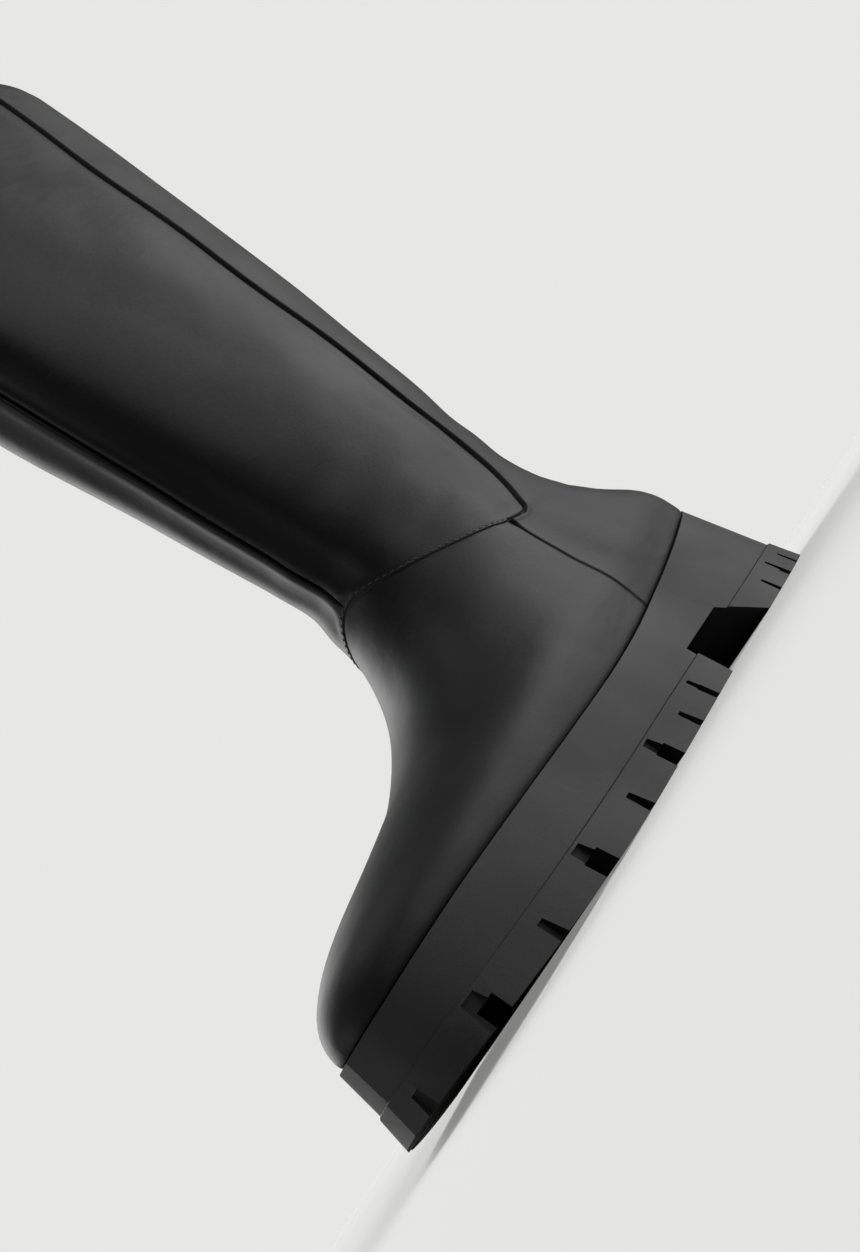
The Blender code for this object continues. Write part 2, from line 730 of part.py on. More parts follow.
def build_upper():
    """Hollow upper: outer grid, inner grid one wall inside, two open rims."""
    grid = upper_grid()
    base = grid[:, :, :3].copy()
    base[:, :, 2] += GAP
    plain = np.stack([base[:, :, 1], 0.5 * LENGTH - base[:, :, 0], base[:, :, 2]], axis=2)
    normal = grid_normals(plain)
    for row in (0, -1):
        normal[row, :, 2] = 0.0
        size = np.linalg.norm(normal[row], axis=1, keepdims=True)
        normal[row] /= size
    step = grid[:, :, 3:4]
    outer = plain + normal * step
    inner = plain - normal * WALL
    rows, columns = outer.shape[:2]
    vertices = np.concatenate([outer.reshape(-1, 3), inner.reshape(-1, 3)])
    offset = rows * columns
    faces = []
    for k in range(rows - 1):
        for i in range(columns):
            j = (i + 1) % columns
            a, b = k * columns + i, k * columns + j
            c, d = (k + 1) * columns + j, (k + 1) * columns + i
            faces.append((a, b, c, d))
            faces.append((offset + a, offset + d, offset + c, offset + b))
    for k in (0, rows - 1):
        for i in range(columns):
            j = (i + 1) % columns
            a, b = k * columns + i, k * columns + j
            faces.append((a, b, offset + b, offset + a))
    item = make_object("upper", vertices, faces)
    outward(item)
    return item, inner


def build_insole(inner):
    """Insole board lying on the sole inside the upper's lower edge."""
    low = inner[0]
    s = 0.5 * LENGTH - low[:, 1]
    mid = axis(s)
    half = UPPER_COLUMNS // 2
    columns = len(low)
    vertices = []
    for z, inset in ((GAP, 0.0016), (GAP + INSOLE_THICKNESS, 0.0030)):
        for i in range(columns):
            centre = 0.5 * LENGTH
            place = centre + (s[i] - centre) * (1.0 - 2 * inset / LENGTH)
            place -= 0.0006 * ease(s[i], 0.5 * LENGTH, LENGTH)
            side = (low[i, 0] - mid[i]) * (1.0 - inset / 0.040)
            vertices.append(to_row(place, mid[i] + side, float(sole_top(place)) + z))
    faces = []
    for i in range(columns):
        j = (i + 1) % columns
        faces.append((i, j, columns + j, columns + i))
    for base in (0, columns):
        for i in range(half):
            a, b = base + i, base + i + 1
            c, d = base + (columns - i - 1) % columns, base + (columns - i) % columns
            if i == 0:
                faces.append((a, b, c))
            elif i == half - 1:
                faces.append((a, b, d))
            else:
                faces.append((a, b, c, d))
    item = make_object("insole", vertices, faces)
    outward(item)
    return item


def paint(item, name, colour, rough):
    """Gives a node its own material."""
    material = bpy.data.materials.new(name)
    material.use_nodes = True
    shader = material.node_tree.nodes["Principled BSDF"]
    shader.inputs["Base Color"].default_value = (*colour, 1.0)
    shader.inputs["Roughness"].default_value = rough
    item.data.materials.clear()
    item.data.materials.append(material)


def main():
    """Builds the three nodes and puts the origin under their middle."""
    for old in list(bpy.data.objects):
        bpy.data.objects.remove(old)
    outsole = build_outsole()
    upper, inner = build_upper()
    insole = build_insole(inner)
    paint(outsole, "rubber", (0.022, 0.021, 0.021), 0.62)
    paint(upper, "leather", (0.016, 0.016, 0.017), 0.38)
    paint(insole, "lining", (0.030, 0.028, 0.026), 0.75)
    nodes = (outsole, upper, insole)
    points = np.array([tuple(v.co) for item in nodes for v in item.data.vertices])
    low, high = points.min(axis=0), points.max(axis=0)
    shift = (0.5 * (low[0] + high[0]), 0.5 * (low[1] + high[1]), 0.0)
    for item in nodes:
        for vertex in item.data.vertices:
            vertex.co.x -= shift[0]
            vertex.co.y -= shift[1]
        item.data.update()


main()
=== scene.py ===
"""Looks of the tall right boot: leather shell, seams, stitches, lining, sole and stage.

Row frame in metres: the toe points to -Y, the inner (medial) side is +X, +Z is up
and the tread rests on z = 0. Stations run along the foot from the heel's rear
edge to the toe, offsets run across it, positive to the inner side.
"""

import json
import logging
import math
from collections.abc import Callable
from dataclasses import dataclass, replace
from enum import Enum

import bpy
import numpy as np
from mathutils import Matrix, Vector

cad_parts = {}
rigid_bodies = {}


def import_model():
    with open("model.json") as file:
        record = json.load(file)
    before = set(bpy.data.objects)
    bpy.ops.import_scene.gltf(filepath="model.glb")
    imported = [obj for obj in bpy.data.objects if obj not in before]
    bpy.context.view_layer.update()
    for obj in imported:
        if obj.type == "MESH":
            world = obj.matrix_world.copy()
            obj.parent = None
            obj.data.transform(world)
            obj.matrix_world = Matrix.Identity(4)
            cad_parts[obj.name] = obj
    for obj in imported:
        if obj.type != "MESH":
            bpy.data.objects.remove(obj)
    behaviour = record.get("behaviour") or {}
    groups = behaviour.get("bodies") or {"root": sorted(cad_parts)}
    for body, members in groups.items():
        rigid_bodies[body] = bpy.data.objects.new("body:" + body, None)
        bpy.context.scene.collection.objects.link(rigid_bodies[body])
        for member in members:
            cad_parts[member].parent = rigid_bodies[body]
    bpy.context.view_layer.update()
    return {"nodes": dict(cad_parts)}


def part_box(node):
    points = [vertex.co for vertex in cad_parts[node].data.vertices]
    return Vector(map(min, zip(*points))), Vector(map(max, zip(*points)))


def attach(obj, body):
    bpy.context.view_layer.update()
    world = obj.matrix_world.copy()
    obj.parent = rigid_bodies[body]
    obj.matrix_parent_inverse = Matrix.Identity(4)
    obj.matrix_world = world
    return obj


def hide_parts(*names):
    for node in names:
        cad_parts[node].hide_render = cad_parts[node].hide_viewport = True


LOG = logging.getLogger("tall_boot")

# Short names of types
Array = np.ndarray
Tree = bpy.types.NodeTree
Node = bpy.types.Node
Socket = bpy.types.NodeSocket
Triple = tuple[float, float, float]

# Height of the picture's frame in pixels
PICTURE_HEIGHT = 1252

# One division of the sole's length
DIVISIONS = 295.0

# One millimetre, for thin things that do not grow with the shoe
MM = 0.001


class Side(Enum):
    """Side of the boot a crease lies on."""

    INNER = 1.0
    OUTER = -1.0
    BOTH = 0.0


class Zone(Enum):
    """Panel group a column of the leather belongs to."""

    BACK = "back"
    CORNER = "corner"
    FRONT = "front"


def smooth(x: Array | float, xs: Array, ys: Array) -> Array:
    """Reads a monotone cubic through given points.

    Args:
        x: where the curve is read.
        xs: places of the points, rising.
        ys: values at the points.

    Returns:
        The curve's values at x.
    """
    step = np.diff(xs)
    rise = np.diff(ys) / step
    slope = np.zeros(len(xs))
    slope[0], slope[-1] = rise[0], rise[-1]
    for k in range(1, len(xs) - 1):
        if rise[k - 1] * rise[k] > 0:
            a = 2 * step[k] + step[k - 1]
            b = step[k] + 2 * step[k - 1]
            slope[k] = (a + b) / (a / rise[k - 1] + b / rise[k])
    x = np.clip(np.asarray(x, float), xs[0], xs[-1])
    k = np.clip(np.searchsorted(xs, x, side="right") - 1, 0, len(xs) - 2)
    t = (x - xs[k]) / step[k]
    t2, t3 = t * t, t * t * t
    low = (2 * t3 - 3 * t2 + 1) * ys[k] + (t3 - 2 * t2 + t) * step[k] * slope[k]
    high = (3 * t2 - 2 * t3) * ys[k + 1] + (t3 - t2) * step[k] * slope[k + 1]
    return low + high


def ease(x: Array | float, low: float, high: float) -> Array:
    """Smooth step from 0 at low to 1 at high."""
    t = np.clip((np.asarray(x, float) - low) / (high - low), 0.0, 1.0)
    return t * t * (3.0 - 2.0 * t)


def bell(x: Array, middle: float, width: float) -> Array:
    """Soft bump of height 1 at middle, with the given half width."""
    return np.exp(-(((x - middle) / width) ** 2))


def ramp(x: Array, ends: tuple[float, float]) -> Array:
    """Smooth step from 0 to 1 between two ends in millimetres."""
    return ease(x, ends[0] * MM, ends[1] * MM)


def halved(low: Array, high: Array, test: Callable[[Array], Array]) -> Array:
    """Places where a test turns from true to false, found by halving.

    Args:
        low: places where it is true.
        high: places where it is false.
        test: the test.

    Returns:
        The places, shaped as low.
    """
    for _ in range(30):
        mid = 0.5 * (low + high)
        holds = test(mid)
        low, high = np.where(holds, mid, low), np.where(holds, high, mid)
    return low


def at_run(run: float, runs: Array, values: Array) -> Array:
    """Point or direction at a run along a path."""
    return np.array([np.interp(run, runs, values[:, k]) for k in range(3)])


def new_piece(name: str, vertices: list, faces: list) -> bpy.types.Object:
    """Makes a smooth-shaded object and links it to the scene.

    Args:
        name: name of the object and its mesh.
        vertices: places of the vertices.
        faces: vertex numbers of each face.

    Returns:
        The object.
    """
    mesh = bpy.data.meshes.new(name)
    mesh.from_pydata(vertices, [], faces)
    mesh.update()
    mesh.shade_smooth()
    piece = bpy.data.objects.new(name, mesh)
    bpy.context.scene.collection.objects.link(piece)
    return piece


@dataclass
class Last:
    """Form of the boot, from which the leather, lining and seams take their places.

    The tables and the lengths under them are in divisions of the sole's length, as the
    boot was drafted.
    """

    length: float
    heel_y: float
    middle_x: float
    draft: float = 0.18
    ball_width: float = 0.102
    edge_inset: float = 0.0015
    lift: float = 0.0003

    # Sole outline: station, inner and outer offset
    outline: tuple = (
        (0.0, 2.0, 2.0), (1.0, 12.0, -8.0), (4.0, 20.5, -16.5), (10.0, 29.5, -26.0),
        (20.0, 37.0, -34.5), (34.0, 41.6, -40.5), (52.0, 43.6, -44.0), (74.0, 43.0, -44.8),
        (98.0, 41.6, -41.6), (120.0, 43.2, -43.0), (142.0, 45.2, -49.4), (170.0, 46.6, -55.6),
        (196.0, 47.0, -55.2), (218.0, 46.6, -50.0), (238.0, 44.8, -41.6), (257.0, 40.8, -33.0),
        (273.0, 34.6, -23.5), (284.0, 27.0, -13.6), (291.6, 17.4, -3.0), (295.0, 8.0, 8.0),
    )

    # Leather line on the sole: station and height
    leather_line: tuple = (
        (0.0, 46.5), (25.0, 43.4), (50.0, 39.4), (75.0, 35.6), (100.0, 32.4), (128.0, 29.8),
        (160.0, 28.4), (205.0, 28.0), (250.0, 28.0), (295.0, 27.0),
    )

    # Rows of the upper: front station and height, rear station and height
    rows: tuple = (
        (287.8, 31.0, 10.4, 50.5), (284.6, 35.6, 11.8, 54.0), (278.0, 40.4, 14.2, 58.0),
        (268.0, 44.6, 17.4, 62.0), (254.0, 48.2, 21.4, 66.0), (237.5, 51.6, 25.8, 70.5),
        (218.5, 55.2, 30.2, 75.0), (200.0, 59.6, 34.0, 80.0), (183.0, 66.2, 36.8, 85.0),
        (169.0, 74.2, 38.4, 90.5), (157.6, 83.6, 39.0, 97.0), (148.8, 94.6, 38.4, 104.5),
        (143.2, 107.4, 36.6, 113.5), (141.2, 122.0, 33.2, 125.0), (142.2, 139.0, 28.0, 140.0),
        (144.8, 158.0, 22.0, 157.0), (148.2, 179.0, 16.2, 177.0), (152.2, 202.0, 10.8, 199.0),
        (156.2, 226.0, 5.6, 222.0), (160.0, 251.0, 0.4, 247.0), (163.4, 277.0, -4.6, 273.0),
        (166.0, 304.0, -9.6, 300.0), (168.0, 330.0, -14.0, 327.0), (169.0, 351.0, -17.0, 349.0),
        (169.4, 363.0, -18.4, 361.0),
    )

    # Shaft sections: height, half width and sideways shift
    shaft: tuple = (
        (70.0, 36.0, 0.0), (100.0, 34.0, 0.0), (126.0, 33.0, 0.0), (180.0, 33.6, 0.4),
        (250.0, 34.6, 1.0), (363.0, 34.0, 2.0),
    )

    # Rear seam down to the shaft panel's corner: height and station
    rear_seam: tuple = (
        (82.2, 92.0), (82.5, 90.4), (83.2, 88.9), (84.4, 87.8), (86.0, 86.9), (88.8, 85.0),
        (94.0, 81.6), (104.0, 76.6), (126.0, 69.4), (169.0, 61.6), (210.0, 56.6), (260.0, 51.0),
        (313.0, 43.6), (366.0, 36.0),
    )

    # Joint of vamp and counter, from the sole to the stitched seam: height and station
    joint: tuple = (
        (24.0, 103.0), (45.0, 101.0), (64.0, 100.6), (76.0, 101.1), (83.9, 101.0),
    )

    # How the grid's columns run on from the rear seam to the sole: height and station
    rear_run_on: tuple = (
        (24.0, 91.5), (50.0, 90.4), (76.0, 89.6), (81.0, 89.2), (83.2, 88.6), (84.4, 87.8),
        (86.0, 86.9), (88.8, 85.0),
    )

    # How they run on from the joint to the collar: height and distance before the rear seam
    joint_run_on: tuple = (
        (83.9, 12.85), (88.8, 13.5), (94.0, 13.8), (126.0, 14.6), (366.0, 15.0),
    )

    # Stitched seam between shaft and vamp: station and height
    vamp_seam: tuple = (
        (60.0, 81.0), (90.0, 82.0), (97.0, 83.0), (103.0, 84.4), (109.4, 86.3), (115.4, 88.3),
        (121.6, 90.6), (126.3, 92.9), (134.3, 97.8), (139.0, 102.2), (141.8, 107.0), (143.4, 111.6),
    )

    # Front seam: height and how far it has turned to the inner side
    front_turn: tuple = (
        (100.0, 0.0), (134.0, 0.2), (163.0, 1.2), (192.0, 3.6), (222.0, 5.6), (253.0, 7.0),
        (363.0, 8.4),
    )

    # Station of the lowest row's rear end, and height up to which the corner's line is fine
    heel_start: float = 9.9
    corner_top: float = 94.0

    # Shift of the middle line at the heel and at the toe
    heel_shift: float = 2.0
    toe_shift: float = 7.0

    # Rows over which the foot turns into the shaft, and the front's radius for turning
    shaft_rows: tuple = (7.0, 15.0)
    front_radius: float = 44.0

    # Foot: station behind which its reach stays, share that it leans in and at what heights
    heel_held: float = 46.0
    lean: float = 0.09
    lean_heights: tuple = (45.0, 110.0)

    # Foot: height and softness of its dome, depth of the round heel
    dome_height: float = 52.0
    dome_softness: float = 4.0
    heel_round: float = 37.0

    # Foot: share and height of the bulge over the sole; powers of the rounded sections
    bulge: float = 0.03
    bulge_height: float = 30.0
    power: float = 2.2
    dome_power: float = 2.05

    # Sole's edge: share of even spacing and share of the ball's width that an inset narrows
    even_share: float = 0.28
    narrowing: float = 0.46

    def __post_init__(self) -> None:
        """Works out the curves that every surface reads."""
        self.unit = self.length / DIVISIONS
        tip = self.length - self.edge_inset - self.draft * float(self.sole_top(self.length))
        heel = self.heel_start * self.unit
        start = [tip, float(self.sole_top(tip)), heel, float(self.sole_top(heel))]
        self.table = np.vstack([start, np.array(self.rows) * self.unit])
        self.row_index = np.arange(len(self.table), dtype=float)
        self.last_row = self.row_index[-1]
        self.profile = np.stack(self.section(np.linspace(0.0, self.last_row, 1800))[:2], 1)
        self.edge = self._edge_table()

    def column(self, table: tuple, index: int) -> Array:
        """One column of a table in metres."""
        return np.array([row[index] for row in table]) * self.unit

    def read(self, table: tuple, place: Array | float, index: int = 1) -> Array:
        """Value in a table's column for a place in its first column."""
        return smooth(place, self.column(table, 0), self.column(table, index))

    def sole_top(self, station: Array | float) -> Array:
        """Height of the leather line at a station."""
        return self.read(self.leather_line, station)

    def axis(self, station: Array | float) -> Array:
        """Offset of the boot's middle line at a station."""
        share = np.asarray(station, float) / self.length
        heel, toe = 1.0 - ease(share, 0.0, 0.25), ease(share, 0.5, 0.98)
        return (self.heel_shift * heel + self.toe_shift * toe) * self.unit

    def _edge_table(self) -> Array:
        """Reach of the leather's lower edge on both sides of the axis.

        Returns:
            Rows of station, inner reach and outer reach.
        """
        phi = np.linspace(0.0, math.pi, 201)
        bunched = 0.5 * (1.0 - self.even_share) * (1.0 - np.cos(phi))
        place = (bunched + self.even_share * phi / math.pi) * self.length
        stations = self.column(self.outline, 0)
        arc = np.sqrt(np.maximum(stations * (self.length - stations), 0.0))
        here = np.sqrt(np.maximum(place * (self.length - place), 0.0))
        total = self.edge_inset + self.draft * self.sole_top(place)
        shrink = 1.0 - total / (self.narrowing * self.ball_width)
        table = [place + total * (1.0 - 2.0 * place / self.length)]
        for index in (1, 2):
            ratio = np.ones(len(arc))
            offset = self.column(self.outline, index) - self.axis(stations)
            ratio[1:-1] = offset[1:-1] / arc[1:-1]
            ratio[0], ratio[-1] = ratio[1], ratio[-2]
            table.append(np.abs(smooth(place, stations, ratio) * here * shrink))
        return np.stack(table)

    def section(self, row: Array) -> list[Array]:
        """Front station and height, rear station and height of rows."""
        return [smooth(row, self.row_index, self.table[:, k]) for k in range(4)]

    @staticmethod
    def on_chord(ends: list[Array], share: Array) -> tuple[Array, Array]:
        """Station and height at a share of the chord between a row's rear and front ends."""
        front_s, front_z, rear_s, rear_z = ends
        return rear_s + (front_s - rear_s) * share, rear_z + (front_z - rear_z) * share

    @staticmethod
    def _distance(station: Array, height: Array, line: Array) -> Array:
        """Distance of side-view points from a line.

        Args:
            station: stations of the points.
            height: heights of the points.
            line: corners of the line as station and height.

        Returns:
            Distances in metres, shaped as the points.
        """
        flat_s, flat_z = station.ravel(), height.ravel()
        result = np.empty(len(flat_s))
        a, b = line[:-1], line[1:]
        run = b - a
        size = np.maximum((run**2).sum(1), 1e-12)
        chunk = 2000
        for first in range(0, len(flat_s), chunk):
            some = slice(first, first + chunk)
            s, z = flat_s[some, None], flat_z[some, None]
            t = ((s - a[:, 0]) * run[:, 0] + (z - a[:, 1]) * run[:, 1]) / size
            t = np.clip(t, 0.0, 1.0)
            gap = np.hypot(s - a[:, 0] - t * run[:, 0], z - a[:, 1] - t * run[:, 1])
            result[some] = gap.min(axis=1)
        return result.reshape(station.shape)

    def surface(self, row: Array, angle: Array) -> Array:
        """Points of the leather's outer face.

        Args:
            row: place from the sole (0) to the collar, in rows.
            angle: turn round the leg from the rear middle, over the inner side.

        Returns:
            Points as station, offset and height.
        """
        ends = self.section(row)
        share = 0.5 * (1.0 - np.cos(angle))
        side = np.where(np.sin(angle) >= 0.0, 1.0, -1.0)
        s, z = self.on_chord(ends, share)
        start = self.table[0]
        chord = start[3] + (start[1] - start[3]) * share
        z = z + np.clip(1.0 - row, 0.0, 1.0) * (self.sole_top(np.minimum(s, self.length)) - chord)
        blend = ease(row, *self.shaft_rows)
        width = self._width(s, z, share, side, blend)
        middle = self.axis(s) * (1.0 - blend) + blend * self.read(self.shaft, ends[3], 2)
        return np.stack([s, middle + side * width, z + self.lift], axis=-1)

    def _width(self, s: Array, z: Array, share: Array, side: Array, blend: Array) -> Array:
        """Distance of the leather from the middle line.

        Args:
            s: stations of the points.
            z: heights of the points.
            share: place along each row's chord, 0 at the rear.
            side: 1 on the inner side, -1 on the outer side.
            blend: 0 on the foot, 1 on the shaft.

        Returns:
            Distances in metres.
        """
        u = self.unit
        held = np.maximum(s, self.heel_held * u)
        inner, outer = (np.interp(held, self.edge[0], self.edge[k]) for k in (1, 2))
        reach = np.where(side > 0, inner, outer)
        low, high = self.lean_heights
        lean = 1.0 - self.lean * ease(z, low * u, high * u)
        below = self._distance(s, z, self.profile)
        above = np.maximum(z - self.sole_top(s), 0.0)
        soft = self.dome_softness * u
        full = -np.logaddexp(-(below + above) / soft, -self.dome_height / self.dome_softness) * soft
        tau = np.clip(1.0 - below / np.maximum(full, 1e-6), 0.0, 1.0)
        dome = (1.0 - tau**self.power) ** (1.0 / self.dome_power)
        depth = s - np.interp(z, self.table[:, 3], self.table[:, 2])
        d = np.clip(depth / (self.heel_round * u), 0.0, 1.0)
        heel = (1.0 - (1.0 - d) ** self.power) ** (1.0 / self.power)
        swell = np.sin(np.pi * np.minimum(above / (self.bulge_height * u), 1.0)) ** 2
        foot = reach * lean * dome * heel * (1.0 + self.bulge * swell)
        oval = np.maximum(1.0 - np.abs(2.0 * share - 1.0) ** self.power, 0.0) ** (1.0 / self.power)
        return (1.0 - blend) * foot + blend * self.read(self.shaft, z) * oval

    def rear_station(self, height: Array) -> Array:
        """Station of the rear seam at a height."""
        return self.read(self.rear_seam, height)

    def joint_station(self, height: Array) -> Array:
        """Station of the joint of vamp and counter at a height."""
        return self.read(self.joint, height)

    def stitch_height(self, station: Array) -> Array:
        """Height of the stitched seam at a station."""
        return self.read(self.vamp_seam, station)

    def rear_column(self, height: Array) -> Array:
        """Station of the grid's column that holds the rear seam."""
        above = height > self.rear_run_on[-1][0] * self.unit
        return np.where(above, self.rear_station(height), self.read(self.rear_run_on, height))

    def joint_column(self, height: Array) -> Array:
        """Station of the grid's column that holds the joint."""
        run_on = self.rear_column(height) + self.read(self.joint_run_on, height)
        return np.where(height > self.joint[-1][0] * self.unit, run_on, self.joint_station(height))

    def panel_line(self) -> Array:
        """Side-view line that bounds the back panel, from the collar to the sole.

        Returns:
            Corners of the line as station and height.
        """
        heights = (self.rear_seam[-1][0], self.corner_top, self.rear_seam[0][0])
        high, fine, low = (height * self.unit for height in heights)
        down = np.append(np.linspace(high, fine, 90)[:-1], np.linspace(fine, low, 60))
        joint = self.joint[-1][1] * self.unit
        along = np.linspace(self.rear_station(low), joint, 24)[1:]
        foot = np.linspace(self.joint[-1][0], self.joint[0][0], 50)[1:] * self.unit
        rear = np.stack([self.rear_station(down), down], 1)
        back = np.stack([along, self.stitch_height(along)], 1)
        return np.concatenate([rear, back, np.stack([self.joint_station(foot), foot], 1)])

    def from_panel_line(self, station: Array, height: Array) -> Array:
        """Signed distance of side-view points from the back panel's line.

        Args:
            station: stations of the points.
            height: heights of the points.

        Returns:
            Distances in metres, negative on the back panel.
        """
        above = height > self.stitch_height(station)
        edge = np.where(above, self.rear_station(height), self.joint_station(height))
        gap = self._distance(station, height, self.panel_line())
        return np.where(station > edge, gap, -gap)

    def seam_angle(self, row: Array, column: Callable[[Array], Array]) -> Array:
        """Angle of a grid column on each row, found by halving.

        Args:
            row: rows.
            column: gives the column's station at a height.

        Returns:
            Angles from the rear middle.
        """
        ends = self.section(row)

        def behind(share: Array) -> Array:
            """Whether places on the chord lie behind the column."""
            s, z = self.on_chord(ends, share)
            return s < column(z)

        share = halved(np.zeros_like(row), np.ones_like(row), behind)
        return np.arccos(1.0 - 2.0 * np.clip(share, 0.05, 0.95))

    def front_turn_angle(self, row: Array) -> Array:
        """How far the front seam has turned from the front middle, as an angle."""
        turn = self.read(self.front_turn, self.section(row)[1])
        return turn / (self.front_radius * self.unit)

    def to_row(self, points: Array) -> Array:
        """Turns stations, offsets and heights into the row frame."""
        station, offset, height = (points[..., k] for k in range(3))
        return np.stack([offset + self.middle_x, self.heel_y - station, height], -1)


@dataclass(frozen=True)
class Ripple:
    """Soft ridge, or with a negative height a groove, along a seam, in millimetres."""

    height: float
    place: float
    width: float

    def over(self, distance: Array) -> Array:
        """Height added at distances from the seam, both in metres."""
        return self.height * MM * bell(distance, self.place * MM, self.width * MM)


@dataclass(frozen=True)
class Crease:
    """One soft trough (negative depth) or ridge of the leather, in divisions."""

    name: str
    side: Side
    start: tuple[float, float]
    end: tuple[float, float]
    width: float
    depth: float


@dataclass
class LeatherShell:
    """The upper's leather with its panels, seams and creases, and its lining."""

    last: Last
    wall: float = 1.5 * MM
    lining_gap: float = 0.05 * MM
    lining_wall: float = 0.65 * MM
    lining_drop: float = 1.0 * MM
    rim_rise: float = 0.8 * MM

    # Back panel: heights over which its turned border begins, its step, the groove before
    # it, and the share of each that it has below the border
    turned_heights: tuple = (0.079, 0.085)
    panel_step: float = 0.9 * MM
    flat_step: float = 0.4
    groove: float = 0.75 * MM
    flat_groove: float = 0.62
    groove_place: float = 0.36 * MM
    groove_width: float = 0.26 * MM
    groove_spread: float = 0.16 * MM

    # Shaft over vamp, leather tucked in at the sole, and what the collar takes off the seams
    overlap: float = 0.36 * MM
    tuck: float = 0.5 * MM
    tuck_height: float = 0.9 * MM
    collar_loss: float = 0.6

    # Ridges and grooves beside the turned border, the stitched seam and the front seam
    rear_ripples: tuple = (Ripple(0.34, -1.15, 0.8), Ripple(-0.35, 3.0, 3.0))
    stitch_ripples: tuple = (Ripple(-0.16, -0.3, 0.4), Ripple(-0.10, 1.0, 0.5))
    front_ripples: tuple = (
        Ripple(-1.15, 0.0, 0.5),
        Ripple(1.15, 2.0, 2.6),
        Ripple(-0.7, 10.0, 5.0),
    )

    # Where parts of the relief begin or fade, in millimetres from their seam or edge
    panel_edge: tuple = (-0.5, 0.05)
    ahead_of_seam: tuple = (-0.2, 0.6)
    overlap_edge: tuple = (-0.1, 0.35)
    overlap_fades: tuple = (8.0, 40.0)
    front_begins: tuple = (0.2, 5.0)
    collar_begins: tuple = (-5.0, -0.5)
    side_begins: tuple = (-3.0, 12.0)
    waves_begin: tuple = (4.0, 25.0)

    # Slow waves of the leather: share, radians a metre along X, Y and Z, and phase
    wave_height: float = 0.16 * MM
    waves: tuple = (
        (1.0, (0.0, 38.0, 62.0), 1.2),
        (1.0, (44.0, -55.0, 91.0), 0.0),
        (0.6, (0.0, 140.0, 75.0), 2.0),
    )

    # Grid: spacing, distances of the lines that hug a seam, and lengths of its zones
    spacing: float = 2.3 * MM
    fine_spacing: float = 0.5 * MM
    hug: tuple = (0.0, 0.22, 0.45, 0.7, 1.0, 1.4, 1.9, 2.6, 3.6)
    corner_rise: float = 7.2 * MM
    back_length: float = 0.062
    corner_length: float = 0.0145
    front_length: float = 0.136
    foot_rise: float = 0.085
    shaft_rise: float = 0.262
    seam_rows: tuple = (7.0, 13.6)

    # Stitches: height over the seam, distance from the rear seam, columns left at the front
    stitch_line: float = 1.0 * MM
    stitch_start: float = 1.2 * MM
    stitch_clear: int = 3

    creases: tuple = (
        Crease("ankle fold", Side.INNER, (78.0, 130.0), (132.0, 116.0), 8.0, 1.0),
        Crease("above the fold", Side.INNER, (86.0, 145.0), (138.0, 134.0), 9.0, -1.1),
        Crease("below the fold", Side.INNER, (86.0, 113.0), (122.0, 105.0), 6.5, -0.8),
        Crease("throat", Side.BOTH, (128.0, 122.0), (146.0, 117.0), 6.0, -0.9),
        Crease("throat ridge", Side.BOTH, (130.0, 134.0), (146.0, 131.0), 6.0, 0.5),
        Crease("instep", Side.INNER, (120.0, 70.0), (168.0, 62.0), 12.0, -0.6),
        Crease("shaft hollow", Side.INNER, (112.0, 200.0), (122.0, 290.0), 16.0, -1.0),
        Crease("shaft swell", Side.INNER, (88.0, 170.0), (78.0, 250.0), 14.0, 0.8),
        Crease("calf dent", Side.INNER, (66.0, 300.0), (96.0, 318.0), 14.0, -0.7),
        Crease("heel fold", Side.BOTH, (34.0, 112.0), (58.0, 104.0), 7.0, -0.6),
        Crease("heel fold high", Side.BOTH, (28.0, 136.0), (56.0, 128.0), 9.0, -0.5),
        Crease("heel ridge", Side.BOTH, (30.0, 124.0), (58.0, 116.0), 7.0, 0.4),
        Crease("outer fold", Side.OUTER, (74.0, 122.0), (134.0, 112.0), 8.0, 0.9),
        Crease("outer trough", Side.OUTER, (80.0, 138.0), (136.0, 130.0), 9.0, -1.1),
        Crease("outer low", Side.OUTER, (84.0, 106.0), (120.0, 98.0), 7.0, -0.7),
        Crease("outer hollow", Side.OUTER, (106.0, 190.0), (116.0, 280.0), 18.0, -1.1),
        Crease("outer swell", Side.OUTER, (70.0, 190.0), (64.0, 270.0), 15.0, 0.8),
    )

    def __post_init__(self) -> None:
        """Lays out the rows and columns and shapes the outer face."""
        self._columns()
        self._rows()
        self._shape()

    def _hugged(
        self, length: float, at_start: bool, at_end: bool, fine_start: float = 0.0
    ) -> Array:
        """Shares of a length, close together where a seam runs.

        Args:
            length: the length that the shares divide.
            at_start: whether a seam runs at the start.
            at_end: whether a seam runs at the end.
            fine_start: length after the start that is divided finely.

        Returns:
            Shares from 0 to 1.
        """
        near = np.array(self.hug) * MM
        start = near if at_start else np.array([0.0])
        if fine_start > 0.0:
            step = self.fine_spacing
            start = np.append(start, np.arange(start[-1] + step, fine_start, step))
        end = length - near[::-1] if at_end else np.array([length])
        count = max(int(round((end[0] - start[-1]) / self.spacing)), 2)
        middle = np.linspace(start[-1], end[0], count + 1)[1:-1]
        return np.concatenate([start, middle, end]) / length

    def _columns(self) -> None:
        """Columns round the leg: zone, share of the zone and side."""
        zones = (
            (Zone.BACK, self._hugged(self.back_length, False, True)),
            (Zone.CORNER, self._hugged(self.corner_length, True, True)[1:]),
            (Zone.FRONT, self._hugged(self.front_length, True, True)[1:]),
        )
        half = [(zone, f) for zone, shares in zones for f in shares]
        inner = [(zone, f, 1.0) for zone, f in half]
        outer = [(zone, f, -1.0) for zone, f in half[-2:0:-1]]
        self.columns = inner + outer
        self.front_seam = len(inner) - 1

